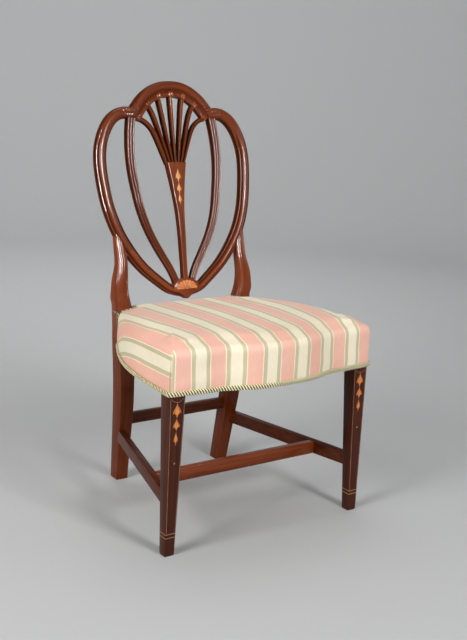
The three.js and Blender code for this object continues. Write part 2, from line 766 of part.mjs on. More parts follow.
// Rear rail
const rearRailBack = postSeat.back - coverThickness;
const rearRailFront = rearRailBack - railThickness;
const rearTenonMiddle = rearRailBack - railThickness / 2;

function rearRailBody(grow = 0) {
  const end = (postSeat.inner + postSeat.outer) / 2;
  return block([-end, rearRailFront, railBottom], [end, rearRailBack, railTop], grow);
}

function rearTenon(grow = 0) {
  const half = railTenonThickness / 2;
  return block([postSeat.inner - 2 * overrun, rearTenonMiddle - half, railBottom + railTenonShoulder],
    [postSeat.inner + railTenonLength, rearTenonMiddle + half, railTop - railTenonShoulder], grow);
}

// Stretchers
const sideMiddle = stretcherTop - stretcherHeight / 2;
const rearMiddle = rearStretcherTop - rearStretcherHeight / 2;
const postLow = postAt(sideMiddle);
const postRear = postAt(rearMiddle);
const stretcherIn = sideStretcherInset + stretcherThickness / 2;
const sideStretcherFront = [seatHalfWidth - stretcherIn, legSize(sideMiddle) / 2];
const sideStretcherRear = [postLow.outer - stretcherIn, postLow.middle];

function sideStretcherX(y) {
  return valueAt([sideStretcherFront, sideStretcherRear].map(([x, depth]) => [depth, x]), y);
}

// A level bar along the side stretcher's line, between two depths.
function sideBar(front, rear, thickness, shoulder, grow) {
  const line = new THREE.Vector2(sideStretcherX(rear) - sideStretcherX(front), rear - front).normalize();
  const across = [line.y * (thickness / 2), -line.x * (thickness / 2)];
  const outline = [[1, front], [1, rear], [-1, rear], [-1, front]]
    .map(([side, y]) => [sideStretcherX(y) + side * across[0], y + side * across[1]]);
  return prism(grownOutline(outline, grow), inPlan, stretcherTop - stretcherHeight + shoulder - grow,
    stretcherTop - shoulder + grow);
}

const stretcherTenon = [stretcherTenonThickness, stretcherTenonShoulder];

function sideStretcherBody(grow = 0) {
  return sideBar(sideStretcherFront[1], sideStretcherRear[1], stretcherThickness, 0, grow);
}

function sideStretcherFrontTenon(grow = 0) {
  const face = legSize(sideMiddle);
  return sideBar(face - stretcherTenonLength, face + overrun, ...stretcherTenon, grow);
}

function sideStretcherRearTenon(grow = 0) {
  return sideBar(postLow.front - 2 * overrun, postLow.front + stretcherTenonLength, ...stretcherTenon, grow);
}

function medialTenon(grow = 0) {
  const face = sideStretcherX(medialSetback) - stretcherThickness / 2;
  return block([face - 2 * overrun, medialSetback - stretcherTenonThickness / 2,
    stretcherTop - stretcherHeight + stretcherTenonShoulder],
  [face + medialTenonLength, medialSetback + stretcherTenonThickness / 2,
    stretcherTop - stretcherTenonShoulder], grow);
}

function rearStretcherTenon(grow = 0) {
  return block([postRear.inner - 2 * overrun, postRear.middle - stretcherTenonThickness / 2,
    rearStretcherTop - rearStretcherHeight + stretcherTenonShoulder],
  [postRear.inner + stretcherTenonLength, postRear.middle + stretcherTenonThickness / 2,
    rearStretcherTop - stretcherTenonShoulder], grow);
}

// Posts with their mortises
const postGrown = joined(postBody(fitGap), stile(fitGap));
const postsGrown = joined(postGrown, mirrored(postGrown));
const post = cutBy(joined(postBody(), stile(), frameTongue(crestJoint, 0)), frameTongue(lowerJoint, fitGap),
  sideRearTenon(fitGap), rearTenon(fitGap), sideStretcherRearTenon(fitGap), rearStretcherTenon(fitGap));
addPair('rear_post', post, mahogany);

// Lower rail of the shield with its fan
const lowerBody = cutBy(lowerRailBody(), postsGrown);
const lowerMortises = [splatTongue(fitGap), ribTongue(0, fitGap), mirrored(ribTongue(0, fitGap)),
  shieldRecess(fanOutline(fanInlayMargin), frameDepth / 2)];
const lowerTongue = frameTongue(lowerJoint, 0);
const lowerWhole = joined(lowerBody, lowerTongue, mirrored(lowerTongue));
add('lower_shield_rail', cutBy(lowerWhole, ...lowerMortises), mahogany());
add('fan_inlay', shieldInlay(fanOutline(fanInlayMargin), frameDepth / 2), satinwood());

// Rails
function withBothEnds(tenon) {
  return [tenon, mirrored(tenon)];
}

add('front_rail', joined(cutBy(frontRailBody(), legsGrown), ...withBothEnds(frontTenon())), beech());
add('rear_rail', joined(cutBy(rearRailBody(), postsGrown), ...withBothEnds(rearTenon())), beech());
const sideRailCut = cutBy(sideRailBody(), legGrown, notch);
addPair('side_rail', joined(sideRailCut, sideFrontTenon(), sideRearTenon()), beech);

// Stretchers' pieces
const sideStretcher = cutBy(sideStretcherBody(), legGrown, postGrown);
addPair('side_stretcher', cutBy(joined(sideStretcher, sideStretcherFrontTenon(), sideStretcherRearTenon()),
  medialTenon(fitGap)), mahogany);
const sideStretcherGrown = sideStretcherBody(fitGap);
const medialEnd = sideStretcherX(medialSetback);
const medialBody = block([-medialEnd, medialSetback - stretcherThickness / 2, stretcherTop - stretcherHeight],
  [medialEnd, medialSetback + stretcherThickness / 2, stretcherTop]);
add('medial_stretcher', joined(cutBy(medialBody, sideStretcherGrown, mirrored(sideStretcherGrown)),
  ...withBothEnds(medialTenon())), mahogany());
const rearEnd = (postRear.inner + postRear.outer) / 2;
const rearStretcherBody = block(
  [-rearEnd, postRear.middle - stretcherThickness / 2, rearStretcherTop - rearStretcherHeight],
  [rearEnd, postRear.middle + stretcherThickness / 2, rearStretcherTop]);
const rearStretcherCut = cutBy(rearStretcherBody, postsGrown);
add('rear_stretcher', joined(rearStretcherCut, ...withBothEnds(rearStretcherTenon())), mahogany());

// Front legs with their mortises and inlays
function legMiddle(height) {
  return seatHalfWidth - legSize(height) / 2;
}

const legHusks = huskRow(railBottom - huskDrop, huskWidths, huskHeights, legMiddle);
const dotHeight = Math.min(...legHusks.flat().map(([, height]) => height)) - dotDrop;
const dotOutline = spread(0, 2 * Math.PI, 12).slice(1)
  .map((angle) => [legMiddle(dotHeight) + (dotDiameter / 2) * Math.cos(angle),
    dotHeight + (dotDiameter / 2) * Math.sin(angle)]);
const stringBottom = cuffHeights[1] + 2 * cuffWidth;

function stringOutline(inset) {
  return [stringBottom, railBottom - stringDrop].flatMap((height, index) => {
    const edge = inset < 0 ? seatHalfWidth + inset : seatHalfWidth - legSize(height) + inset;
    const other = edge + (inset < 0 ? -stringWidth : stringWidth);
    return index === 0 ? [[edge, height], [other, height]] : [[other, height], [edge, height]];
  });
}

const faceInlays = {
  leg_dot: [dotOutline, boxwood],
  leg_string_outer: [stringOutline(-stringInset), boxwood],
  leg_string_inner: [stringOutline(stringInset), boxwood],
};
legHusks.forEach((outline, index) => {
  faceInlays[`leg_husk_${huskNames[index]}`] = [outline, satinwood];
});

function legRecess(outline) {
  return prism(grownOutline(outline, fitGap), inFront, -overrun, inlayThickness + fitGap);
}

// A band let in round the leg, or the groove that holds it.
function legBand(height, outward, inward, extra) {
  const reach = cuffWidth / 2 + extra;
  const outer = loft([legRing(height - reach, outward), legRing(height + reach, outward)]);
  const far = reach + overrun;
  const inner = loft([legRing(height - far, -inward), legRing(height + far, -inward)]);
  return cutBy(outer, inner);
}

const leg = cutBy(legBody(), frontTenon(fitGap), sideFrontTenon(fitGap), sideStretcherFrontTenon(fitGap),
  ...Object.values(faceInlays).map(([outline]) => legRecess(outline)),
  ...cuffHeights.map((height) => legBand(height, overrun, inlayThickness + fitGap, fitGap)));
addPair('front_leg', leg, darkMahogany);
for (const [name, [outline, material]] of Object.entries(faceInlays)) {
  addPair(name, prism(outline, inFront, 0, inlayThickness), material);
}
cuffHeights.forEach((height, index) => {
  addPair(`leg_cuff_${cuffNames[index]}`, legBand(height, 0, inlayThickness, 0), boxwood);
});

// Corner blocks, cut round what they stand against
const blockTop = railTop - tenonWall;

function cornerBlock(corner, along, inward, ...neighbours) {
  const body = prism([corner, along, inward], inPlan, blockTop - cornerBlockHeight, blockTop);
  return cutBy(body, ...neighbours);
}

const sideRailGrown = sideRailBody(fitGap, cornerBlockReach);
const [frontX, frontY] = [sideTenonMiddle, frontTenonMiddle];
const frontBlock = cornerBlock([frontX, frontY], [frontX - cornerBlockReach, frontY],
  [frontX, frontY + cornerBlockReach], legGrown, frontRailBody(fitGap), sideRailGrown);
addPair('front_corner_block', frontBlock, beech);
const [rearX, rearY] = [sidePostTenonMiddle, rearTenonMiddle];
const rearReach = rearY - cornerBlockReach;
const rearBlock = cornerBlock([rearX, rearY], [rearX - cornerBlockReach, rearY],
  [sideFace(rearReach) - railThickness / 2, rearReach], postGrown, rearRailBody(fitGap), sideRailGrown);
addPair('rear_corner_block', rearBlock, beech);

// Webbing, woven over and under where the strips cross
const webBase = railTop + fitGap;
const webLift = webbingThickness + fitGap;

// A strip whose middle line runs along one axis and rises where it passes over.
function webbingStrip(start, end, crossings, over, place) {
  const half = webbingWidth / 2;
  const line = [[start, 0]];
  crossings.forEach((crossing, index) => {
    const height = over(index) ? webLift : 0;
    const ramp = half + 2 * webLift;
    line.push([crossing - ramp - 2 * webLift, 0], [crossing - ramp, height], [crossing + ramp, height],
      [crossing + ramp + 2 * webLift, 0]);
  });
  line.push([end, 0]);
  return loft(line.map(([along, height]) => squareShares
    .map(([a, b]) => place(along, a * half, webBase + height + b * webbingThickness))));
}

const webbingOffsets = spread(-(webbingCount - 1) / 2, (webbingCount - 1) / 2, webbingCount - 1);
const lengthStrips = webbingOffsets.map((offset) => offset * webbingPitch);
const crossStrips = webbingOffsets.map((offset) => webbingMiddle + offset * webbingPitch);
lengthStrips.forEach((x, index) => {
  const start = frontFace(Math.abs(x) + webbingWidth / 2) + webbingInset;
  const over = (other) => (index + other) % 2 === 0;
  const strip = webbingStrip(start, rearRailBack - webbingInset, crossStrips, over,
    (along, across, z) => new THREE.Vector3(x + across, along, z));
  add(`webbing_length_${index + 1}`, strip, linen());
});
crossStrips.forEach((y, index) => {
  const end = sideFace(y + webbingWidth / 2) - webbingInset;
  const over = (other) => (index + other) % 2 === 1;
  const strip = webbingStrip(-end, end, lengthStrips, over,
    (along, across, z) => new THREE.Vector3(along, y + across, z));
  add(`webbing_cross_${index + 1}`, strip, linen());
});

// Seat's outline in plan, moved outward from the rails, with the right half from the middle of the front
function seatHalf(outward, radius) {
  const cornerX = seatHalfWidth + outward - radius;
  const cornerY = radius - outward;
  const front = frontStations.map((x) => {
    const slope = (frontFace(x + overrun) - frontFace(x - overrun)) / (2 * overrun);
    const length = Math.hypot(slope, 1);
    return [x + (outward * slope) / length, frontFace(x) - outward / length];
  });
  const corner = spread(-Math.PI / 2, 0, 4)
    .map((angle) => [cornerX + radius * Math.cos(angle), cornerY + radius * Math.sin(angle)]);
  const side = sideStations.map((y) => [sideFace(y) + outward, y]);
  return [...front, ...corner, ...side];
}

function seatOutline(outward, radius) {
  const half = seatHalf(outward, radius);
  const end = half[half.length - 1][0];
  const rear = [end, end / 2, 0].map((x) => [x, rearRailBack + outward]);
  const right = [...half, ...rear];
  const left = right.slice(1, -1).map(([x, y]) => [-x, y]).reverse();
  return [...right, ...left];
}

const seatMiddle = webbingMiddle;

// A ring of the seat, drawn in towards the middle, whose height may depend on the place in plan.
function seatRing(outline, reach, heightAt) {
  return outline.map(([x, y]) => {
    const place = [x * reach, seatMiddle + (y - seatMiddle) * reach];
    return new THREE.Vector3(...place, heightAt(place[1]));
  });
}

function seatEdgeAt(y) {
  const part = THREE.MathUtils.clamp((y - rearRailBack + rearDropReach) / rearDropReach, 0, 1);
  return seatEdgeHeight - rearDrop * THREE.MathUtils.smoothstep(part, 0, 1);
}

function crownRings(outline, sink) {
  return crownShares.map(([reach, rise]) => (
    seatRing(outline, reach, (y) => seatEdgeAt(y) + seatCrown * rise - sink)));
}

function shoulderRing(outline) {
  return seatRing(outline, shoulderOutShare, (y) => railTop + shoulderUpShare * (seatEdgeAt(y) - railTop));
}

function wallRings(outline) {
  const wall = wallShares.map(([up, swell]) => (
    seatRing(outline, 1 + (sideBulge * swell) / seatHalfWidth, () => railBottom + up * railHeight)));
  return [shoulderRing(outline), ...wall];
}

// Hessian and stuffing
const hessianBottom = webBase + 2 * webLift;
const padBottom = hessianBottom + hessianThickness + fitGap;
const hessianTop = hessianBottom + hessianThickness;
const hessian = prism(seatOutline(-webbingInset, fitGap), inPlan, hessianBottom, hessianTop);
add('hessian', cutBy(hessian, notches), linen());
const padOutline = seatOutline(0, fitGap);
const padRings = [...crownRings(padOutline, coverThickness + fitGap), shoulderRing(padOutline),
  seatRing(padOutline, shoulderOutShare, () => padBottom)];
add('stuffing', cutBy(loft(padRings), notches), horsehair());

// Cover, a skin over the stuffing and down the outside of the rails
const coverOuter = seatOutline(fitGap + coverThickness, coverCorner);
const coverInner = seatOutline(fitGap, fitGap);
const coverRings = [...crownRings(coverInner, coverThickness), ...wallRings(coverInner),
  ...wallRings(coverOuter).reverse(), ...crownRings(coverOuter, 0).reverse()];
add('seat_cover', cutBy(loft(coverRings), notches), silk());

// Trim along the cover's lower edge, from post to post round the front
const trimOffset = 2 * fitGap + coverThickness + trimThickness / 2;
const trimSection = spread(0, 2 * Math.PI, 8).slice(1)
  .map((angle) => [(trimThickness / 2) * Math.cos(angle), (trimHeight / 2) * Math.sin(angle)]);
const trimStrands = trimSection.map(([out, up]) => {
  const half = seatHalf(trimOffset + out, coverCorner + fitGap + trimThickness / 2 + out);
  return mirrorHalf(half).map(([x, y]) => new THREE.Vector3(x, y, railBottom + trimHeight / 2 + up));
});
const trimRings = trimStrands[0].map((unused, index) => trimStrands.map((strand) => strand[index]));
add('trim_cord', cutBy(loft(trimRings), notches), cord());

// The origin goes to the floor, under the middle of the whole chair's box.
const size = new THREE.Box3().setFromObject(chair);
const centre = size.getCenter(new THREE.Vector3());
chair.position.set(-centre.x, -centre.y, -size.min.z);
const model = new THREE.Group();
model.add(chair);

export default model;
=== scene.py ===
"""Looks of the shield back chair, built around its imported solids."""
import math
import random
from contextlib import contextmanager

import bmesh
import bpy
import numpy as np
from mathutils import Matrix, Vector
from mathutils.bvhtree import BVHTree
from mathutils.kdtree import KDTree


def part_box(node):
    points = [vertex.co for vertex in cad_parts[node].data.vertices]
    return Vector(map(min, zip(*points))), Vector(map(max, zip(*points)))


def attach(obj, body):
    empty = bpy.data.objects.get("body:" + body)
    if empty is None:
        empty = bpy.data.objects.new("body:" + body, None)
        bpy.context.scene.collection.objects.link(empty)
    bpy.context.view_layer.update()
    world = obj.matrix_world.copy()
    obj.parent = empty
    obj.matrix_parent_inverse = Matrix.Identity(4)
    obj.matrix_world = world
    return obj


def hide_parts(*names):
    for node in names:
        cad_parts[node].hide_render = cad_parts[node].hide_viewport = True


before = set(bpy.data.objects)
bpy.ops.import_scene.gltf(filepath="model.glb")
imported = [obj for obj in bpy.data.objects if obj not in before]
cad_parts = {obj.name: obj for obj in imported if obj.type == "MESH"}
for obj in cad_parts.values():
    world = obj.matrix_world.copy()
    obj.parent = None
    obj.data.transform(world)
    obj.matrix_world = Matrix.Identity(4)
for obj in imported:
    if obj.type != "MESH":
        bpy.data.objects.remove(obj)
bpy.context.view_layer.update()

MM = 0.001
# Places are in millimetres, with depth from the front legs' faces. SHIFT brings depth into the frame.
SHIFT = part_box("front_leg_right")[0].y / MM


# Materials
class Nodes:
    """Short hand for building one material's node tree."""

    def __init__(self, name):
        self.material = bpy.data.materials.new(name)
        self.material.use_nodes = True
        self.tree = self.material.node_tree
        self.tree.nodes.clear()
        self.shader = self.new("BsdfPrincipled")
        self.put(self.new("OutputMaterial").inputs[0], self.shader.outputs[0])

    def new(self, kind):
        return self.tree.nodes.new("ShaderNode" + kind)

    def put(self, socket, value):
        if isinstance(value, bpy.types.NodeSocket):
            self.tree.links.new(value, socket)
        else:
            socket.default_value = value

    def fill(self, node, **values):
        """Sets a node's inputs by their names."""
        for name, value in values.items():
            self.put(node.inputs[name.replace("_", " ")], value)
        return node

    def set(self, **values):
        self.fill(self.shader, **values)

    def math(self, operation, *values, clamp=False):
        node = self.new("Math")
        node.operation = operation
        node.use_clamp = clamp
        for socket, value in zip(node.inputs, values):
            self.put(socket, value)
        return node.outputs[0]

    def times(self, first, second):
        return self.math("MULTIPLY", first, second)

    def plus(self, first, second):
        return self.math("ADD", first, second)

    def attribute(self, name, output):
        node = self.new("Attribute")
        node.attribute_name = name
        return node.outputs[output]

    def grain(self):
        return self.attribute("grain", "Vector")

    def shade(self):
        return self.attribute("shade", "Fac")

    def place(self):
        return self.new("TexCoord").outputs["Object"]

    def split(self, vector):
        return self.fill(self.new("SeparateXYZ"), Vector=vector).outputs[:2]

    def uv(self, name):
        node = self.new("UVMap")
        node.uv_map = name
        return self.split(node.outputs[0])

    def scaled(self, vector, scale):
        return self.fill(self.new("Mapping"), Scale=scale, Vector=vector).outputs[0]

    def noise(self, vector, scale, detail=3.0, roughness=0.5, distortion=0.0):
        return self.fill(self.new("TexNoise"), Vector=vector, Scale=scale, Detail=detail,
                         Roughness=roughness, Distortion=distortion).outputs[0]

    def weave(self, across, along, pitch):
        """High and low by turns, as threads pass over and under each other."""
        turn = 2 * math.pi / (pitch * MM)
        warp, weft = [self.math("SINE", self.times(place, turn)) for place in (across, along)]
        return self.times(warp, weft)

    def ramp(self, factor, stops):
        node = self.new("ValToRGB")
        elements = node.color_ramp.elements
        while len(elements) < len(stops):
            elements.new(0.5)
        for element, (position, color) in zip(elements, stops):
            element.position = position
            element.color = (*color, 1)
        self.put(node.inputs[0], factor)
        return node.outputs[0]

    def mix(self, factor, first, second, blend="MIX"):
        node = self.new("Mix")
        node.data_type = "RGBA"
        node.blend_type = blend
        for index, value in ((0, factor), (6, first), (7, second)):
            self.put(node.inputs[index], value)
        return node.outputs[2]

    def bump(self, height, strength, distance):
        node = self.fill(self.new("Bump"), Strength=strength, Distance=distance, Height=height)
        self.put(self.shader.inputs["Normal"], node.outputs[0])


def rgb(red, green, blue):
    """A display colour in 0 to 255 as linear light."""
    parts = [value / 255 for value in (red, green, blue)]
    return tuple(v / 12.92 if v <= 0.04045 else ((v + 0.055) / 1.055) ** 2.4 for v in parts)


def wood(name, dark, middle, light, roughness=0.3, coat=0.28, seen_place=False):
    """Wood with long grain, pores and old polish, with painted shade where its shade attribute is set: darker
    colour and less shine in hollows, on side faces and low under the seat.
    """
    m = Nodes(name)
    grain = m.place() if seen_place else m.grain()
    broad = m.noise(m.scaled(grain, (9, 9, 1.6)), 1.0, 2.0, 0.5, 0.4)
    streak = m.noise(m.scaled(grain, (150, 150, 5)), 1.0, 5.0, 0.62, 0.5)
    fine = m.noise(m.scaled(grain, (900, 900, 22)), 1.0, 3.0, 0.6)
    tone = m.plus(m.times(broad, 0.45), m.times(streak, 0.55))
    color = m.ramp(tone, [(0.3, dark), (0.5, middle), (0.72, light)])
    pores = m.ramp(fine, [(0.35, (0.45, 0.42, 0.4)), (0.52, (1, 1, 1))])
    color = m.mix(0.35, color, pores, "MULTIPLY")
    # Painted shade: the colour darkens towards a near black of the dark tone, and the shine fades, where the
    # shade attribute is set.
    painted_shade = m.times(m.shade(), 0.88)
    color = m.mix(painted_shade, color, (*[0.12 * c for c in dark], 1))
    unshaded = m.math("SUBTRACT", 1.0, m.shade(), clamp=True)
    m.set(Base_Color=color, IOR=1.46, Specular_IOR_Level=m.times(unshaded, 0.1),
          Coat_Weight=m.times(unshaded, coat), Coat_Roughness=0.07)
    m.set(Roughness=m.plus(roughness - 0.06, m.times(fine, 0.16)))
    m.bump(m.plus(fine, m.times(streak, 0.5)), 0.1, 0.0004)
    return m.material


mahogany = wood("mahogany", rgb(78, 31, 10), rgb(118, 52, 19), rgb(150, 74, 31))
panel_mahogany = wood("mahogany_panel", rgb(90, 38, 15), rgb(130, 61, 26), rgb(160, 84, 38))
dark_mahogany = wood("dark_mahogany", rgb(42, 17, 8), rgb(70, 31, 17), rgb(97, 46, 27), coat=0.14)
# A darker copy of mahogany, as painted shade for the stretchers under the seat
shaded_mahogany = wood("mahogany_painted_shade", rgb(50, 20, 8), rgb(82, 36, 15), rgb(112, 54, 24), coat=0.15)
beech = wood("beech", rgb(132, 96, 58), rgb(160, 122, 78), rgb(184, 147, 99), 0.6, 0.0, True)


def inlay_wood(name, dark, middle, light):
    """A light inlay wood, scorched brown towards the edges that its shade attribute marks."""
    m = Nodes(name)
    grain = m.grain()
    streak = m.noise(m.scaled(grain, (500, 500, 60)), 1.0, 4.0, 0.6)
    color = m.ramp(streak, [(0.3, dark), (0.5, middle), (0.7, light)])
    scorch = m.shade()
    color = m.mix(m.times(scorch, 0.75), color, (*rgb(96, 48, 20), 1))
    m.set(Base_Color=color, Roughness=0.36, Coat_Weight=0.4, Coat_Roughness=0.2)
    m.bump(streak, 0.08, 0.0002)
    return m.material


satinwood = inlay_wood("satinwood", rgb(188, 94, 24), rgb(214, 120, 36), rgb(230, 148, 56))
golden_inlay = inlay_wood("golden_inlay", rgb(194, 114, 22), rgb(218, 142, 34), rgb(234, 166, 56))
boxwood = inlay_wood("boxwood", rgb(122, 78, 46), rgb(150, 102, 62), rgb(174, 126, 82))

PINK, CREAM, SAGE = rgb(237, 182, 162), rgb(238, 228, 202), rgb(197, 187, 150)
PALE = rgb(250, 234, 208)
BANDS = [(34.0, PINK), (1.9, PALE), (8.9, SAGE), (25.2, CREAM), (8.5, SAGE), (1.9, PALE)]
STRIPE = sum(width for width, _ in BANDS)
PINK_MIDDLE = 4.5  # how far a pink band's middle lies beside the seat's
STRIPE_START = PINK_MIDDLE - BANDS[0][0] / 2


def silk():
    """Striped silk: bands from the cloth coordinates, a fine ribbed weave, a soft sheen and painted shade in
    the corner folds.
    """
    m = Nodes("striped_silk")
    across, along = m.uv("cloth")
    wobble = m.noise(m.place(), 14.0, 2.0)
    across = m.plus(across, m.times(m.math("SUBTRACT", wobble, 0.5), 0.0016))
    part = m.math("DIVIDE", m.math("SUBTRACT", across, STRIPE_START * MM), STRIPE * MM)
    stops, start, soft = [], 0.0, 0.3 / STRIPE
    for width, color in BANDS:
        end = start + width / STRIPE
        stops += [(min(start + soft, 1), color), (min(end - soft, 1), color)]
        start = end
    color = m.ramp(m.math("FRACT", part), stops)
    slub = m.noise(m.scaled(m.place(), (420, 420, 60)), 1.0, 4.0, 0.65)
    cloud = m.noise(m.place(), 11.0, 3.0)
    color = m.mix(0.5, color, m.ramp(slub, [(0.3, (0.86, 0.85, 0.83)), (0.65, (1, 1, 1))]), "MULTIPLY")
    color = m.mix(0.5, color, m.ramp(cloud, [(0.35, (0.9, 0.88, 0.85)), (0.6, (1, 1, 1))]), "MULTIPLY")
    # Painted shade in the pressed fold at each front corner
    color = m.mix(m.times(m.shade(), 0.6), color, (*rgb(120, 92, 62), 1))
    m.set(Base_Color=color, Roughness=0.62, Sheen_Weight=0.18, Sheen_Roughness=0.4,
          Sheen_Tint=(1, 0.97, 0.93, 1), Specular_IOR_Level=0.35)
    m.bump(m.plus(m.weave(across, along, 0.9), m.times(slub, 1.5)), 0.22, 0.0005)
    return m.material


def yarn(name, dark, light, scale=900.0):
    """Twisted yarn with fine fibres."""
    m = Nodes(name)
    fibre = m.noise(m.scaled(m.place(), (scale, scale, scale)), 1.0, 3.0, 0.7)
    slow = m.noise(m.place(), 60.0, 2.0)
    color = m.ramp(m.plus(m.times(fibre, 0.6), m.times(slow, 0.4)),
                   [(0.3, dark), (0.68, light)])
    m.set(Base_Color=color, Roughness=0.8, Sheen_Weight=0.25, Sheen_Roughness=0.5)
    m.bump(fibre, 0.4, 0.0005)
    return m.material


def woven(name, dark, light, pitch):
    """Coarse plain weave, seen from below the seat."""
    m = Nodes(name)
    place = m.place()
    height = m.weave(*m.split(place), pitch)
    dirt = m.noise(place, 40.0, 4.0)
    color = m.ramp(m.plus(m.times(height, 0.22), dirt), [(0.25, dark), (0.7, light)])
    m.set(Base_Color=color, Roughness=0.9, Sheen_Weight=0.15)
    m.bump(height, 0.5, 0.0008)
    return m.material


silk_cloth = silk()
cream_yarn = yarn("cord_cream", rgb(222, 208, 146), rgb(250, 242, 200))
sage_yarn = yarn("cord_sage", rgb(50, 46, 18), rgb(92, 84, 40))
fray_yarn = yarn("fray_green", rgb(52, 56, 34), rgb(104, 106, 70))
hessian_cloth = woven("hessian_cloth", rgb(112, 92, 62), rgb(160, 138, 100), 2.2)
webbing_cloth = woven("webbing_cloth", rgb(136, 116, 82), rgb(190, 170, 128), 1.6)


# Lines, forms and pieces
def spline(points, per=20):
    """A natural cubic spline through points, sampled densely."""
    p = np.array(points, float)
    n = len(p)
    t = np.concatenate([[0], np.cumsum(np.linalg.norm(np.diff(p, axis=0), axis=1) ** 0.7)])
    h = np.diff(t)
    a = np.zeros((n, n))
    r = np.zeros((n, p.shape[1]))
    a[0, 0] = a[-1, -1] = 1
    for i in range(1, n - 1):
        a[i, i - 1], a[i, i], a[i, i + 1] = h[i - 1], 2 * (h[i - 1] + h[i]), h[i]
        r[i] = 6 * ((p[i + 1] - p[i]) / h[i] - (p[i] - p[i - 1]) / h[i - 1])
    m = np.linalg.solve(a, r)
    out = []
    for i in range(n - 1):
        for k in range(per):
            u = k / per * h[i]
            v = h[i] - u
            out.append(m[i] * v ** 3 / (6 * h[i]) + m[i + 1] * u ** 3 / (6 * h[i])
                       + (p[i] / h[i] - m[i] * h[i] / 6) * v + (p[i + 1] / h[i] - m[i + 1] * h[i] / 6) * u)
    out.append(p[-1])
    return np.array(out)


class Track:
    """A dense line that can be read by its share of arc length."""

    def __init__(self, dense):
        self.points = np.array(dense, float)
        steps = np.linalg.norm(np.diff(self.points, axis=0), axis=1)
        self.lengths = np.concatenate([[0], np.cumsum(steps)])
        self.length = self.lengths[-1]

    def inside(self, share):
        """The point at a share from 0 to 1."""
        run = share * self.length
        return np.array([np.interp(run, self.lengths, column) for column in self.points.T])

    def at(self, share):
        """The point at a share, straight on past either end where it lies outside 0 to 1."""
        held = np.clip(share, 0, 1)
        return self.inside(held) + self.tangent(share) * ((share - held) * self.length)

    def tangent(self, share):
        reach = 1.5 / self.length
        middle = min(max(share, reach), 1 - reach)
        run = self.inside(middle + reach) - self.inside(middle - reach)
        return run / np.linalg.norm(run)

    def where(self, axis, value, low=0.0, high=1.0):
        """The share between low and high at which the line reaches a value."""
        for _ in range(40):
            middle = (low + high) / 2
            if self.at(middle)[axis] < value:
                low = middle
            else:
                high = middle
        return low


class Form:
    """Vertices, faces and stored per-vertex values of one piece, in millimetres."""

    def __init__(self, rings=(), grains=None, shade=None, looped=False):
        self.verts, self.faces, self.grain, self.shade, self.tags = [], [], [], [], []
        if rings:
            self.skin(rings, grains, shade, looped=looped)

    def add(self, verts, faces, grain, shade=None, tag=0):
        """Adds faces; a face's tag is its place in the piece's list of materials."""
        start = len(self.verts)
        self.verts += [tuple(v) for v in verts]
        self.faces += [tuple(start + i for i in face) for face in faces]
        self.grain += [tuple(g) for g in grain]
        self.shade += list(shade) if shade is not None else [0.0] * len(verts)
        self.tags += [tag] * len(faces)

    def skin(self, rings, grains=None, shade=None, tag=0, looped=False):
        """Joins rings of equally many points, and closes the ends or joins the last ring to the first."""
        rows, count = len(rings), len(rings[0])
        faces = []
        for row in range(rows if looped else rows - 1):
            low, high = row * count, (row + 1) % rows * count
            faces += [(low + i, low + (i + 1) % count, high + (i + 1) % count, high + i)
                      for i in range(count)]
        if not looped:
            faces.append(tuple(range(count - 1, -1, -1)))
            faces.append(tuple((rows - 1) * count + i for i in range(count)))
        verts = [v for ring in rings for v in ring]
        grain = [g for ring in grains for g in ring] if grains else [v * MM for v in verts]
        self.add(verts, faces, grain, shade, tag)

    def mirrored(self):
        other = Form()
        other.verts = [(-x, y, z) for x, y, z in self.verts]
        other.faces = [tuple(reversed(face)) for face in self.faces]
        other.grain = [(u + 0.31, v, w + 0.47) for u, v, w in self.grain]
        other.shade = list(self.shade)
        other.tags = list(self.tags)
        return other

    def merge(self, other):
        self.add(other.verts, other.faces, other.grain, other.shade)


def in_metres(points):
    """Places in millimetres, moved into the frame."""
    p = np.array(points, float)
    p[:, 1] += SHIFT
    return p * MM


@contextmanager
def edited(mesh):
    """A mesh's vertices and faces for editing, which go back into it afterwards."""
    bm = bmesh.new()
    bm.from_mesh(mesh)
    yield bm
    bm.to_mesh(mesh)
    bm.free()


def linked(name, data):
    obj = bpy.data.objects.new(name, data)
    bpy.context.scene.collection.objects.link(obj)
    return obj


def store(mesh, grain, shade=None):
    """Keeps each vertex's place in the grain, and its shade: painted shade in hollows, on sides and under the
    seat, or the scorch of an inlay.
    """
    kept = mesh.attributes.new("grain", "FLOAT_VECTOR", "POINT")
    kept.data.foreach_set("vector", np.array(grain, np.float32).ravel())
    if shade is not None:
        kept = mesh.attributes.new("shade", "FLOAT", "POINT")
        kept.data.foreach_set("value", np.array(shade, np.float32))


def solid(name, form, materials=()):
    """An object from a form. One without materials keeps no grain and shade."""
    mesh = bpy.data.meshes.new(name)
    mesh.from_pydata(in_metres(form.verts).tolist(), [], form.faces)
    for material in materials:
        mesh.materials.append(material)
    if materials:
        mesh.polygons.foreach_set("material_index", form.tags)
        store(mesh, form.grain, form.shade)
    with edited(mesh) as bm:
        bmesh.ops.recalc_face_normals(bm, faces=bm.faces)
    return linked(name, mesh)


def apply_modifiers(obj):
    depsgraph = bpy.context.evaluated_depsgraph_get()
    mesh = bpy.data.meshes.new_from_object(obj.evaluated_get(depsgraph), depsgraph=depsgraph)
    obj.modifiers.clear()
    old = obj.data
    obj.data = mesh
    mesh.name = obj.name
    bpy.data.meshes.remove(old)


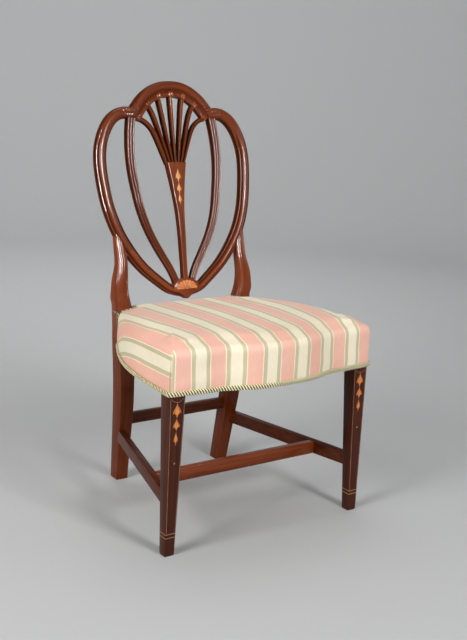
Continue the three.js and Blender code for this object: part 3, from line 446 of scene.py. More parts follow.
def finish(obj, replaced=(), sharp=32.0, bevel=0.0):
    """Rounds edges, smooths the shading, hangs the piece on the root body and hides the parts that it
    replaces.
    """
    if bevel:
        modifier = obj.modifiers.new("edges", "BEVEL")
        modifier.width = bevel * MM
        modifier.segments = 2
        modifier.limit_method = "ANGLE"
        modifier.angle_limit = math.radians(35)
        modifier.miter_outer = "MITER_ARC"
        apply_modifiers(obj)
    obj.data.shade_smooth()
    obj.data.set_sharp_from_angle(angle=math.radians(sharp))
    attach(obj, "root")
    if replaced:
        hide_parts(*replaced)


def make(name, form, material, replaced=(), sharp=32.0):
    """One piece from one form, in a material or in a list of them."""
    obj = solid(name, form, material if isinstance(material, list) else [material])
    finish(obj, replaced, sharp)


def both(name, form, material, replaced=(), sharp=32.0):
    """The right piece and its mirror image."""
    for side, one in (("right", form), ("left", form.mirrored())):
        make(f"{name}_{side}", one, material, [f"{node}_{side}" for node in replaced], sharp)


def combine(target, others, operation="UNION"):
    """Joins or cuts a piece by others, which are used up."""
    for other in others:
        modifier = target.modifiers.new("join", "BOOLEAN")
        modifier.object = other
        modifier.operation = operation
        modifier.solver = "EXACT"
        apply_modifiers(target)
        bpy.data.objects.remove(other)


def give_back(mesh, forms):
    """Sets a joined mesh's grain and shade to those of the nearest point of its forms."""
    whole = Form()
    for form in forms:
        whole.merge(form)
    tree = KDTree(len(whole.verts))
    for index, point in enumerate(in_metres(whole.verts)):
        tree.insert(point, index)
    tree.balance()
    nearest = [tree.find(vertex.co)[1] for vertex in mesh.vertices]
    for name in ("grain", "shade"):
        if name in mesh.attributes:
            mesh.attributes.remove(mesh.attributes[name])
    store(mesh, np.array(whole.grain)[nearest], np.array(whole.shade)[nearest])


def union(name, forms, material, replaced, bevel=0.0):
    """One piece of mahogany from forms that run into one another."""
    first, *others = [solid(f"{name}_{index}", form, [material]) for index, form in enumerate(forms)]
    first.name = name
    combine(first, others)
    give_back(first.data, forms)
    finish(first, [replaced], bevel=bevel)


# Inlays, tubes and ridges
INLAY_DEPTH = 0.9


def inlay(place, outline, proud, seed, edge_shade, middle_shade):
    """An inlaid plate that shades from its middle to its edge."""
    count = len(outline)
    cx, cz = np.mean(np.array(outline), axis=0)
    rings = []
    for forward, scale in ((proud - INLAY_DEPTH, 1.0), (proud - 0.06, 1.0), (proud, 0.95), (proud, 0.5)):
        rings.append([place(cx + (x - cx) * scale, cz + (z - cz) * scale, forward) for x, z in outline])
    grains = [[(v[0] * MM + seed, seed, v[2] * MM) for v in ring] for ring in rings]
    return Form(rings, grains, [edge_shade] * (3 * count) + [middle_shade] * count)


def circle(count):
    """Cosine and sine of equal turns."""
    return [(math.cos(2 * math.pi * k / count), math.sin(2 * math.pi * k / count)) for k in range(count)]


def tube(form, path, radius, sides=6, tag=0, taper=0.0):
    """A round tube along a dense path, with a radius that may fall by a share towards its end."""
    path = np.array(path, float)
    along = np.gradient(path, axis=0)
    along /= np.linalg.norm(along, axis=1, keepdims=True)
    first = np.cross(along[0], (0.31, 0.2, 0.93))
    rings = []
    for index, (point, run) in enumerate(zip(path, along)):
        first = first - run * np.dot(first, run)
        first /= np.linalg.norm(first)
        second = np.cross(run, first)
        r = radius * (1 - taper * (index / (len(path) - 1)) ** 2)
        rings.append([point + r * (first * c + second * s) for c, s in circle(sides)])
    form.skin(rings, tag=tag)


def pillow(centre, along, across, length, width, levels):
    """A small raised pad with a round top; levels give its height and scale from the bottom up."""
    corners = [[abs(t) ** 0.6 * math.copysign(1, t) / 2 for t in pair] for pair in circle(16)]
    return Form([[centre + along * (u * length * scale) + across * (v * width * scale) + NORMAL * height
                  for u, v in corners] for height, scale in levels])


def ridge(surface, path, width, height):
    """A half round ridge that tapers to both ends, along a path on a surface."""
    rings = []
    count = len(path)
    for index, (along, across) in enumerate(path):
        share = index / (count - 1)
        before, after = path[max(index - 1, 0)], path[min(index + 1, count - 1)]
        step = np.array(after) - np.array(before)
        side = np.array([-step[1], step[0]]) / np.linalg.norm(step)
        full = min(1.0, 0.35 + 3 * share) * (1 - 0.85 * share ** 3)
        half, top = width / 2 * full, height * full
        section = ((-1, -0.9), (-0.86, 0.2 * top), (-0.5, 0.8 * top), (0, top), (0.5, 0.8 * top),
                   (0.86, 0.2 * top), (1, -0.9))
        rings.append([surface(along + side[0] * shift * half, across + side[1] * shift * half, up)
                      for shift, up in section])
    # Painted shade along both edges, where the ridge meets the surface
    return Form(rings, shade=[0.6, 0.45, 0, 0, 0, 0.45, 0.6] * count)


# The shield's lines and sections
RAIL_TOP = 424.0
TIP, SHOULDER, HALF, RAKE = 470.5, 894.0, 200.0, math.radians(12.66)
SETBACK = 387.2
NORMAL = np.array([0, -math.cos(RAKE), math.sin(RAKE)])
FRAME_WIDTH, TIP_WIDTH, FRAME_DEPTH = 28.0, 21.0, 25.0
SHIELD = [(0, 0), (0.178, 0.022), (0.253, 0.041), (0.38, 0.088), (0.515, 0.143), (0.635, 0.208),
          (0.73, 0.275), (0.81, 0.344), (0.875, 0.414), (0.93, 0.488), (0.967, 0.563), (0.99, 0.641),
          (1, 0.717), (0.99, 0.79), (0.951, 0.861), (0.885, 0.924), (0.79, 0.974), (0.66, 1), (0.5, 0.995)]
ARCH = [(0, 1), (0.26, 0.955), (0.48, 0.8), (0.69, 0.53), (0.86, 0.2), (1, -0.15)]
RIB = [(0.11, 0.063), (0.16, 0.124), (0.218, 0.176), (0.28, 0.228), (0.395, 0.336), (0.49, 0.448),
       (0.553, 0.561), (0.592, 0.677), (0.601, 0.792), (0.581, 0.906), (0.556, 0.975)]
PANEL = [(1, 1), (0.858, 0.637), (0.72, 0.353), (0.616, 0.19), (0.5, 0.1), (0.356, 0.05), (0.2, 0), (0, 0)]
ARCH_HALF, ARCH_RISE, ARCH_BAND = 104.0, 56.0, 38.5
TINES = 7
LOWER_JOINT, CREST_JOINT = TIP + 107.5, SHOULDER - 72.0
SWELL_AHEAD, STILE_SWELL, RIB_SWELL = 2.6, 4.4, 5.0
BELLY_MIDDLE, BELLY_HALF = 0.35, 0.17  # shares of the shield's height


def belly(up):
    """How far the shield's lower half swells, for a share of its height."""
    return math.exp(-((up - BELLY_MIDDLE) / BELLY_HALF) ** 2)


def in_shield(x, height, forward=0.0):
    """A place on the leaning plane of the shield, or in front of it."""
    swell = SWELL_AHEAD * belly((height - TIP) / (SHOULDER - TIP))
    y = SETBACK + math.tan(RAKE) * (height - TIP) - swell
    return np.array([x, y, height]) + NORMAL * forward


def mirror_half(half):
    return [(-u, v) for u, v in reversed(half) if u > 0] + list(half)


rise = SHOULDER - TIP
frame_line = [(x * HALF + STILE_SWELL * belly(up), TIP + up * rise) for x, up in SHIELD]
arch_line = [(x * ARCH_HALF, SHOULDER + up * ARCH_RISE) for x, up in ARCH]
rib_line = [(x * HALF + RIB_SWELL * belly(up), TIP + up * rise) for x, up in RIB]
frame_track = Track(spline([in_shield(x, z) for x, z in frame_line]))
arch_track = Track(spline([in_shield(x, z) for x, z in mirror_half(arch_line)]))
lower_track = Track(spline([in_shield(x, z) for x, z in mirror_half(frame_line[:13])]))
rib_track = Track(spline([in_shield(x, z) for x, z in rib_line]))
lower_joint = frame_track.where(2, LOWER_JOINT, 0, 0.6)
crest_joint = frame_track.where(2, CREST_JOINT, 0, 0.75)


def sideways(track, share):
    """The direction across a track in the shield's plane."""
    side = np.cross(track.tangent(share), NORMAL)
    return side / np.linalg.norm(side)


def swept(track, start, end, steps, section, width, depth, forward=0.0, seed=0.0):
    """A section of (across, ahead, shade) along a track. It, its width and its depth may be functions."""
    rings, grains, shade = [], [], []
    for step in range(steps + 1):
        share = start + (end - start) * step / steps
        points, w, d = [value(share) if callable(value) else value for value in (section, width, depth)]
        centre, across = track.at(share), sideways(track, share)
        places = [(a * w / 2, (b - 0.5) * d) for a, b, _ in points]
        run = share * track.length * MM + seed
        rings.append([centre + across * out + NORMAL * (forward + ahead) for out, ahead in places])
        grains.append([(out * MM + seed, ahead * MM + seed, run) for out, ahead in places])
        shade += [dark for _, _, dark in points]
    return Form(rings, grains, shade)


FRONT_SHARES = np.sin(np.linspace(-1, 1, 41) * math.pi / 2)  # denser towards the edges
SIDE_AND_BACK = [(1, 0.32), (1, 0.18), (0.95, 0.06), (0.82, 0),
                 (-0.82, 0), (-0.95, 0.06), (-1, 0.18), (-1, 0.32)]


def groove_shade(front, a):
    """How deep a place lies below what stands close beside it, given as painted shade for that hollow."""
    beside = max(front(min(max(a + step, -1), 1)) for step in (-0.12, -0.06, 0.06, 0.12))
    return 0.95 * min(max((beside - front(a)) / 0.2, 0), 1)


def profile(front, side_shade=0.6):
    """A closed section from a function that gives the front's height for each share across, with painted
    shade in the front's hollows and on the sides and back.
    """
    points = [(a, front(a), max(groove_shade(front, a), side_shade if abs(a) > 0.995 else 0))
              for a in FRONT_SHARES]
    return points + [(a, b, side_shade) for a, b in SIDE_AND_BACK]


def bead(a, middle, half, foot, top):
    """Height of a half round at a share across, or nothing beside it."""
    t = (a - middle) / half
    return foot + (top - foot) * math.sqrt(max(0.0, 1 - t * t)) if abs(t) < 1 else None


# Middle, half width, foot and top of each round, and the height of the hollows between them
MOULDING = ((0, 0.6, 0.7, 1.0), (0.86, 0.14, 0.5, 0.76), (-0.86, 0.14, 0.5, 0.76))
HOLLOW = 0.68


def moulded_front(a):
    """Broad middle round between hollows, with a small round at each edge."""
    for middle, half, foot, top in MOULDING:
        height = bead(a, middle, half, foot, top)
        if height is not None and height > HOLLOW:
            return height
    edge = (1 - abs(a)) / 0.06
    return 0.5 + 0.18 * min(1.0, edge)


def smooth_front(a):
    """Plain rounded face of the side arches."""
    return 0.52 + 0.48 * math.sqrt(max(0.0, 1 - (abs(a) ** 2.6)))


def centre_front(a):
    """The centre arch: a round outer part, a raised line, and a flat inner border."""
    if a > 0.22:  # inner side
        flat = 0.74 - 0.05 * (a - 0.22)
        line = bead(a, 0.3, 0.07, 0.0, 0.09) or 0.0
        edge = min(1.0, (1 - a) / 0.05)
        return 0.5 + (flat + line - 0.5) * math.sqrt(max(edge, 0.0))
    t = (a + 0.39) / 0.61
    return 0.56 + 0.44 * math.sqrt(max(0.0, 1 - abs(t) ** 2.4))


def reeds(count, low, edge=0.55):
    """A front of several equal reeds."""
    def front(a):
        t = (a + 1) / 2 * count
        inside = (t - math.floor(t)) * 2 - 1 if a < 1 else 1.0
        return max(edge if abs(a) > 0.999 else 0, low + (1 - low) * math.sqrt(max(0.0, 1 - inside * inside)))
    return front


def blended(first, second, share):
    return lambda a: first(a) * (1 - share) + second(a) * share


def eased(value, start, span):
    """From 0 to 1 while a value passes a span, softly at both ends."""
    t = min(max((value - start) / span, 0.0), 1.0)
    return t * t * (3 - 2 * t)


def ring_at(outline, z):
    """An outline in plan as a ring at one height."""
    return [np.array([x, y, z]) for x, y in outline]


# Rear posts
NECK = RAIL_TOP + 126.0
POST_OUTER, POST_WIDTH, POST_DEPTH, POST_SETBACK, POST_KICK = 191.0, 46.0, 42.5, 393.0, 36.5
# Height by the neck's, then shares of the outer place, width, depth, kick to the rear and lean
POST_SHARES = np.array([
    (0, 0.852, 0.657, 0.824, 1, 0), (0.18, 0.88, 0.713, 0.894, 0.616, 0),
    (0.36, 0.908, 0.785, 0.976, 0.233, 0), (0.5, 0.924, 0.804, 1, 0.12, 0),
    (0.65, 0.958, 0.913, 0.941, 0.03, 0), (0.77, 0.984, 1, 0.86, 0, 0), (0.808, 1, 1, 0.8, 0, 0.03),
    (0.85, 0.997, 0.79, 0.776, 0, 0.09), (0.9, 0.9895, 0.678, 0.73, 0, 0.22),
    (0.955, 0.968, 0.624, 0.68, 0, 0.48), (1, 0.941, 0.585, 0.66, 0, 0.8),
    (1.32, 0.942, 0.56, 0.62, 0, 0.98), (1.65, 0.945, 0.52, 0.54, 0, 1), (2, 0.948, 0.46, 0.46, 0, 1)])
merge_place = frame_track.where(0, POST_OUTER * POST_SHARES[-1, 1] - FRAME_WIDTH * 0.4, 0, 0.6)
MERGE = max(frame_track.at(merge_place)[2], NECK + FRAME_WIDTH)


def post_row(key):
    """Every column of the post's table at one value of its first, on a smooth curve."""
    rows = POST_SHARES
    high = int(np.clip(np.searchsorted(rows[:, 0], key), 1, len(rows) - 1))
    low = high - 1
    climb = rows[high] - rows[low]
    part = (key - rows[low, 0]) / climb[0]

    def slope(i):
        before, after = rows[max(i - 1, 0)], rows[min(i + 1, len(rows) - 1)]
        return (after - before) / (after[0] - before[0])

    first = slope(low) * climb[0] - climb
    last = climb - slope(high) * climb[0]
    return rows[low] + part * climb + part * (1 - part) * ((1 - part) * first + part * last)


def post_at(height):
    """Places of a post's outer, inner, front and rear face at a height."""
    key = height / NECK if height < NECK else 1 + (height - NECK) / (MERGE - NECK)
    _, out, wide, deep, kick, plane = post_row(key)
    outer = POST_OUTER * out
    inner = outer - POST_WIDTH * wide
    lean = SETBACK + math.tan(RAKE) * (max(height, NECK) - TIP) - POST_SETBACK
    middle = POST_SETBACK + POST_KICK * kick + lean * plane
    half = POST_DEPTH * deep / 2
    return outer, inner, middle - half, middle + half


def rounded_box(x0, x1, y0, y1, radius, corner_steps=4, front=None):
    """A ring of a rectangle with round corners; front may push the front face's points forward."""
    points = []
    corners = ((x1 - radius, y0 + radius, -90), (x1 - radius, y1 - radius, 0),
               (x0 + radius, y1 - radius, 90), (x0 + radius, y0 + radius, 180))
    for cx, cy, start in corners:
        for k in range(corner_steps + 1):
            angle = math.radians(start + 90 * k / corner_steps)
            points.append((cx + radius * math.cos(angle), cy + radius * math.sin(angle)))
    face = 12
    for k in range(1, face):
        x = x0 + radius + (x1 - x0 - 2 * radius) * k / face
        push = front((x - x0) / (x1 - x0)) if front else 0.0
        points.append((x, y0 - push))
    return points


def smoothed(heights, reach):
    """The post's four edges at each height, each averaged with its neighbours."""
    edges = np.array([post_at(z) for z in heights])
    weights = np.exp(-((heights[:, None] - heights[None, :]) / reach) ** 2)
    near = np.minimum(heights - heights[0], heights[-1] - heights)
    weights = np.where(near[:, None] < 2.5 * reach, np.eye(len(heights)), weights)
    return weights @ edges / weights.sum(axis=1, keepdims=True)


# Start and span of the heights in which a post's section changes, and in which the painted shade under the
# seat fades out
ROUNDED, FLUTED, FULLER, LEANER, SHADE_FADE = (RAIL_TOP - 74, 90), (490, 70), (450, 24), (505, 50), (330, 120)
EDGE_RADIUS, ROUNDING, CROWN, FLUTE_DEPTH, EXTRA_OUT, EXTRA_AHEAD = 1.6, 5.4, 2.2, 0.7, 4.2, 1.5
# FOOT_SHADE is the painted shade on a post's lower part, under the seat
POST_SOFTNESS, POST_STEPS, FOOT_SHADE = 22.0, 128, 0.3
FLUTES, FLUTE_HALF = (0.3, 0.5, 0.7), 0.07  # shares of the face


def post_form():
    """A rear post from its foot to where it ends behind the stile."""
    heights = np.linspace(0, MERGE, POST_STEPS)
    rings, grains, shade = [], [], []
    for z, (outer, inner, front, back) in zip(heights, smoothed(heights, POST_SOFTNESS)):
        up = eased(z, *ROUNDED)
        flute = FLUTE_DEPTH * eased(z, *FLUTED)
        full = eased(z, *FULLER) * (1 - 0.8 * eased(z, *LEANER))

        def face(share, flute=flute, up=up):
            crown = CROWN * up * (1 - (2 * share - 1) ** 2)
            return crown - flute * sum(math.exp(-((share - at) / FLUTE_HALF) ** 2) for at in FLUTES)

        outline = rounded_box(inner, outer + EXTRA_OUT * full, front + CROWN * up - EXTRA_AHEAD * full,
                              back, EDGE_RADIUS + ROUNDING * up, 4, face)
        rings.append(ring_at(outline, z))
        grains.append([((x - 170) * MM, (y - front) * MM, z * MM) for x, y in outline])
        # Painted shade low under the seat, fading out higher up
        shade += [FOOT_SHADE * (1 - eased(z, *SHADE_FADE))] * len(outline)
    return Form(rings, grains, shade)


GAP = 0.15  # half the joint line between two pieces
gap_share = GAP / frame_track.length
stile_form = swept(frame_track, lower_joint + gap_share, crest_joint - gap_share, 60,
                   profile(moulded_front), FRAME_WIDTH, FRAME_DEPTH, seed=0.2)
for side in ("right", "left"):
    forms = [post_form(), stile_form]
    if side == "left":
        forms = [form.mirrored() for form in forms]
    union(f"post_{side}", forms, mahogany, f"rear_post_{side}")


# Crest
LEAF_ROOT = 0.985  # share of an arch at which its leaf starts
LEAF_RAISED = 7.0  # how far the centre arch's leaf lies from its middle line
SIDE_LEAF, CENTRE_LEAF, LEAF_HALF, LOBES, LOBE_REACH = 30.0, 34.0, 9.5, 4, 8.5
MIDRIB, LOBE = (3.6, 2.0), (4.4, 1.9)  # width and height
LOBE_START, LOBE_PITCH, LOBE_SHRINK, LOBE_BEND, LOBE_ROOT = 0.06, 0.21, 0.14, 1.25, 0.8
HEAD_SHIFT, HEAD_REACH = 0.023, 0.955  # how the tines' heads spread over the centre arch
SCALLOP_INSET, SCALLOP_AHEAD, SCALLOP_RADIUS = 3.2, 5.6, 1.25
SCALLOP_SHARES, SCALLOP_LIFTS = (0.2, 0.35, 0.5, 0.65, 0.8), (0, 2.2, 2.9, 2.2, 0)


def side_arch_section(share):
    return profile(blended(moulded_front, smooth_front, eased(share, crest_joint, 0.45 * (1 - crest_joint))))


def carved_leaf(surface, reach, half):
    """Ridges of a leaf with a midrib and lobes that curl outward, in places along and across an arch."""
    middle = [(reach * t, 0.8 * math.sin(3 * t)) for t in np.linspace(0, 1, 12)]
    parts = [ridge(surface, middle, *MIDRIB)]
    for index in range(LOBES):
        root = reach * (LOBE_START + LOBE_PITCH * index)
        size = half * (1.0 - LOBE_SHRINK * index)
        for side in (-1, 1):
            path = []
            for t in np.linspace(0, 1, 10):
                bend = LOBE_BEND * t
                out = LOBE_ROOT + size * (1 - math.cos(bend) * (1 - t)) ** 0.8
                path.append((root + LOBE_REACH * math.sin(bend) * (0.5 + 0.5 * t), side * out))
            parts.append(ridge(surface, path, *LOBE))
    return parts


def arch_surface(track, width, front, shift=0.0):
    """Places on an arch's face, by their distance from its leaf's root and from the leaf's middle."""
    def place(along, across, up):
        share = LEAF_ROOT - along / track.length
        a = np.clip(2 * (across - shift) / width, -0.97, 0.97)
        ahead = (front(a) - 0.5) * FRAME_DEPTH + up
        return track.at(share) + sideways(track, share) * (a * width / 2) + NORMAL * ahead
    return place


def head_place(share):
    """Where along the centre arch a tine ends, from -1 for the first tine to 1 for the last."""
    return 0.5 + (share - HEAD_SHIFT * math.sin(math.pi * share)) * HEAD_REACH / 2


def scallop_form(index):
    """A small arc along the centre arch's inner border, from one tine's head to the next."""
    path = []
    for t, lift in zip(SCALLOP_SHARES, SCALLOP_LIFTS):
        share = head_place(2 * (index + t) / (TINES - 1) - 1)
        inward = sideways(arch_track, share) * (ARCH_BAND / 2 - SCALLOP_INSET - lift)
        path.append(arch_track.at(share) + inward + NORMAL * SCALLOP_AHEAD)
    form = Form()
    tube(form, spline(path, 4), SCALLOP_RADIUS, 8)
    return form


side_arch = swept(frame_track, crest_joint + gap_share, 1.0, 48, side_arch_section,
                  FRAME_WIDTH, FRAME_DEPTH, seed=0.2)
centre_arch = swept(arch_track, 0.0, 1.0, 110, profile(centre_front), ARCH_BAND, FRAME_DEPTH, seed=0.7)
leaves = carved_leaf(arch_surface(frame_track, FRAME_WIDTH, smooth_front), SIDE_LEAF, LEAF_HALF)
leaves += carved_leaf(arch_surface(arch_track, ARCH_BAND, centre_front, LEAF_RAISED), CENTRE_LEAF, LEAF_HALF)
union("crest", [centre_arch, side_arch, side_arch.mirrored()]
      + [scallop_form(index) for index in range(TINES - 1)]
      + leaves + [form.mirrored() for form in leaves], mahogany, "crest_rail")


# Lower rail and its fan
FAN_HALF, FAN_TOP = 36.0, TIP + 35.0
LUNETTE_HALF, LUNETTE_RISE, LUNETTE_BASE = 29.5, 21.5, TIP + 9.0
HUB_HALF, HUB_RISE, BLOCK_PROUD, RAY_PROUD, BLOCK_EDGE, RAYS = 4.6, 3.4, 0.4, 0.55, 0.6, 9
# One ray: reach by the fan's, and place by the ray's own turn
RAY_SHARES = [(0.2, 0.1), (0.92, 0.03),
              *((0.92 + 0.08 * math.sin(math.pi * t), 0.97 - 0.94 * t) for t in (0.8, 0.6, 0.4, 0.2)),
              (0.92, 0.97), (0.2, 0.9)]
lower_end = lower_track.where(2, LOWER_JOINT, 0.5, 1.0)


def lower_width(share):
    return TIP_WIDTH + (FRAME_WIDTH - TIP_WIDTH) * min(abs(share - 0.5) / (lower_end - 0.5), 1.0)


def half_round(half, base, rise, steps):
    """The points of a half oval over a base line, from its right end to its left."""
    return [(half * math.cos(a), base + rise * math.sin(a)) for a in np.linspace(0, math.pi, steps + 1)]


def fan_block(seed=0.3):
    """The block that carries the fan: a point at its foot and a half round above."""
    base = TIP - FRAME_WIDTH / 2
    spring = (base + FAN_TOP) / 2
    outline = [(0, base), *half_round(FAN_HALF, spring, FAN_TOP - spring, 36)]
    rings = [[in_shield(x, z, forward) for x, z in outline]
             for forward in (-FRAME_DEPTH / 2, FRAME_DEPTH / 2 + BLOCK_PROUD)]
    return Form(rings, [[(v[0] * MM + seed, seed, v[2] * MM + seed) for v in ring] for ring in rings])


def fan_rays():
    """Wedges with round ends that spread from the middle of the fan's base, over a half round hub."""
    form = Form()
    face = FRAME_DEPTH / 2 + RAY_PROUD
    for ray in range(RAYS):
        spots = [(reach, math.pi / RAYS * (ray + part)) for reach, part in RAY_SHARES]
        outline = [(LUNETTE_HALF * reach * math.cos(a), LUNETTE_BASE + LUNETTE_RISE * reach * math.sin(a))
                   for reach, a in spots]
        form.merge(inlay(in_shield, outline, face, 0.06 * ray, 0.6, 0.0))
    form.merge(inlay(in_shield, half_round(HUB_HALF, LUNETTE_BASE, HUB_RISE, 12), face, 0.5, 0.5, 0.1))
    return form


lower_form = swept(lower_track, 1 - lower_end + gap_share, lower_end - gap_share, 110,
                   profile(moulded_front), lower_width, FRAME_DEPTH, seed=0.9)
union("lower_rail", [lower_form, fan_block()], mahogany, "lower_shield_rail", bevel=BLOCK_EDGE)
make("fan_rays", fan_rays(), satinwood, ["fan_inlay"], sharp=60)


# Ribs
RIB_WIDTH, RIB_DEPTH = (17.0, 21.0), (12.5, 20.0)  # at the foot and at the top
RIB_FORWARD = -2.0


def between(ends):
    """A function that goes straight from one size to another along a track."""
    return lambda share: ends[0] + (ends[1] - ends[0]) * min(max(share, 0), 1)


rib_form = swept(rib_track, -0.01, 1.0, 90, profile(reeds(3, 0.72), 0.7), between(RIB_WIDTH),
                 between(RIB_DEPTH), forward=RIB_FORWARD, seed=0.15)
both("reeded_rib", rib_form, mahogany, ["rib"])


# Splat
SPLAT_THICK, SPLAT_FORWARD, SPLAT_DEEPER, DEEPER_SPAN = 16.0, 2.8, 3.6, 110.0
FAN_BASE, BASE_HALF, WAIST = SHOULDER - 116.0, 25.5, 13.0
PANEL_BOTTOM = FAN_TOP - FRAME_WIDTH / 2
SPLAT_FACE = SPLAT_FORWARD + SPLAT_THICK / 2
TINE_WIDTH, TINE_THICK, TINE_FORWARD, TINE_MARGIN = (5.2, 12.0), 17.5, -2.6, 0.76
# MARGIN_SHADE and REED_SHADE are painted shade on a tine's margins and reeds
TINE_CURL, MARGIN_HEIGHT, MARGIN_SHADE, REED_SHADE, MARGIN_SIDE = 0.4, 0.36, 0.95, 0.2, 0.3
HEAD_LENGTH, HEAD_WIDTH, HEAD_SPREAD = 12.0, 6.0, 3.1
HEAD_LEVELS = ((4.5, 1.0), (7.3, 1.0), (8.4, 0.85), (8.8, 0.5))
# SIDE_SHADE is painted shade on the panel's sides, most at the back edge
PANEL_EASE, SIDE_SHADE = 1.2, [0.9, 0.5]


def panel_form():
    """The plain panel, with its edges eased, from the fan's block to the tines."""
    rings, grains, shade = [], [], []
    ease = PANEL_EASE
    for up, out in spline(PANEL, 10)[::-1]:
        half = WAIST / 2 + out * (BASE_HALF - WAIST / 2)
        z = PANEL_BOTTOM + up * (FAN_BASE - PANEL_BOTTOM)
        low = SPLAT_FORWARD - SPLAT_THICK / 2 - SPLAT_DEEPER * eased(z, FAN_BASE - DEEPER_SPAN, DEEPER_SPAN)
        edge = [(half, low), (half, SPLAT_FACE - ease), (half - 0.35 * ease, SPLAT_FACE - 0.35 * ease),
                (half - ease, SPLAT_FACE), (half - 1.4 * ease, SPLAT_FACE)]
        section = edge + [(-x, forward) for x, forward in reversed(edge)]
        rings.append([in_shield(x, z, forward) for x, forward in section])
        grains.append([(x * MM, forward * MM + 0.6, z * MM) for x, forward in section])
        shade += SIDE_SHADE + [0] * (len(section) - 4) + SIDE_SHADE[::-1]
    return Form(rings, grains, shade)


def tine_track(share):
    """A tine's line, and the direction in which it meets the arch."""
    meet = head_place(share)
    inward = sideways(arch_track, meet)
    end = arch_track.at(meet) + inward * (ARCH_BAND / 2 - 6.0)
    start_x, start_z = share * (BASE_HALF - 2.6), FAN_BASE - 3
    curl = TINE_CURL * share * share
    points = []
    for part in np.linspace(0, 1, 13):
        out = (1 - curl) * part + curl * part ** 8
        points.append(in_shield(start_x + (end[0] - start_x) * out, start_z + (end[2] - start_z) * part))
    return Track(spline(points, 8)), inward


def tine_section():
    """Two reeds between low margins, with painted shade on the margins and sides and a little on the reeds.
    """
    reed = reeds(2, 0.62)
    points = []
    for a in FRONT_SHARES:
        on_reeds = abs(a) < TINE_MARGIN
        height = reed(a / TINE_MARGIN) if on_reeds else MARGIN_HEIGHT
        dark = max(REED_SHADE, groove_shade(reed, a / TINE_MARGIN)) if on_reeds else MARGIN_SHADE
        points.append((a, height, dark))
    return points + [(a, min(b, MARGIN_SIDE), MARGIN_SHADE) for a, b in SIDE_AND_BACK]


def tine_forms():
    """Reeded tines, each ending in a small round head on the arch's inner border."""
    forms = []
    section = tine_section()
    for index in range(TINES):
        track, inward = tine_track(2 * index / (TINES - 1) - 1)
        forms.append(swept(track, 0.0, 1.0, 44, section, between(TINE_WIDTH), TINE_THICK,
                           forward=TINE_FORWARD, seed=0.11 * index))
        across = np.cross(inward, NORMAL)
        head = track.at(1.0) - inward * 1.0
        for side in (-HEAD_SPREAD, HEAD_SPREAD):
            forms.append(pillow(head + across * side, inward, across, HEAD_LENGTH, HEAD_WIDTH, HEAD_LEVELS))
    return forms


union("splat_panel", [panel_form(), *tine_forms()], panel_mahogany, "splat")


# Husks: half the outline of a bud, and a side petal, in shares of the husk's width and height
BUD = [(0, 1), (0.04, 0.93), (0.1, 0.81), (0.19, 0.68), (0.28, 0.56), (0.33, 0.46), (0.33, 0.37),
       (0.27, 0.29), (0.17, 0.24), (0.09, 0.19), (0.05, 0.1), (0.045, 0.02), (0, 0)]
SIDE_PETAL = [(0.13, 0.81), (0.25, 0.69), (0.37, 0.56), (0.45, 0.43), (0.5, 0.27), (0.44, 0.3), (0.39, 0.36),
              (0.365, 0.46), (0.31, 0.57), (0.22, 0.69)]
HUSK_GAP, SPLAT_PROUD, LEG_PROUD, SPLAT_DROP, LEG_DROP = 1.6, 0.4, 0.25, 15.5, 16.0
# Width and height of each husk from the top one down
SPLAT_HUSKS, LEG_HUSKS = ((16, 31), (14, 24), (10, 24)), ((20, 32), (17, 27), (11, 30))


def petals(place, middle, bottom, width, height, proud, seed):
    """A bellflower husk: a bud between two flaring side petals."""
    bud = [(middle + x * width, bottom + z * height) for x, z in BUD]
    bud += [(2 * middle - x, z) for x, z in reversed(bud[1:-1])]
    side = [(middle + x * width, bottom + z * height) for x, z in SIDE_PETAL]
    other = [(2 * middle - x, z) for x, z in reversed(side)]
    form = inlay(place, bud, proud, seed, 0.3, 0.0)
    for petal, shift in ((side, 0.3), (other, 0.7)):
        form.merge(inlay(place, petal, proud - 0.05, seed + shift, 0.55, 0.12))
    return form


def husk_row(top, sizes):
    """Name, width, height and lower end of each husk in a row that hangs from a height."""
    for name, (width, height) in zip(("top", "middle", "bottom"), sizes):
        yield name, width, height, top - height
        top -= height + HUSK_GAP


for name, width, height, bottom in husk_row(FAN_BASE - SPLAT_DROP, SPLAT_HUSKS):
    form = petals(in_shield, 0, bottom, width, height, SPLAT_FACE + SPLAT_PROUD, 0.2)
    make(f"panel_husk_{name}", form, golden_inlay, [f"splat_husk_{name}"], sharp=60)


# Front legs
SEAT_HALF, LEG_SQUARE, LEG_FOOT, LEG_EDGE, RAIL_BOTTOM = 262.6, 37.5, 23.2, 1.3, 358.0
STRING_INSET, STRING_WIDTH, STRING_TOP, STRING_BOTTOM = 2.2, 0.9, RAIL_BOTTOM - 8.0, 54.2
SWAG_TOP, SWAG_TIP, SWAG_INSET, SWAG_WIDTH = RAIL_BOTTOM - 5.0, RAIL_BOTTOM - 15.4, 2.4, 0.7
DOT_PLACE, DOT_RADIUS, TIP_DOT_PLACE, TIP_DOT_RADIUS = 210.0, 2.0, RAIL_BOTTOM - 14.2, 1.1
CUFF_PLACES = (("lower", 42.5), ("upper", 51.0))
CUFF_HALF, CUFF_PROUD, CUFF_DEEP = 0.8, 0.2, 0.8


def leg_size(z):
    return LEG_FOOT + (LEG_SQUARE - LEG_FOOT) * min(z / RAIL_BOTTOM, 1)


def leg_middle(z):
    return SEAT_HALF - leg_size(z) / 2


def leg_ring(z, grow):
    """A front leg's outline at a height, a little larger or smaller."""
    size = leg_size(z) + grow
    return ring_at(rounded_box(SEAT_HALF - size, SEAT_HALF + grow, -grow, size, LEG_EDGE, 3), z)


def on_leg(x, z, forward):
    return np.array([x, -forward, z])


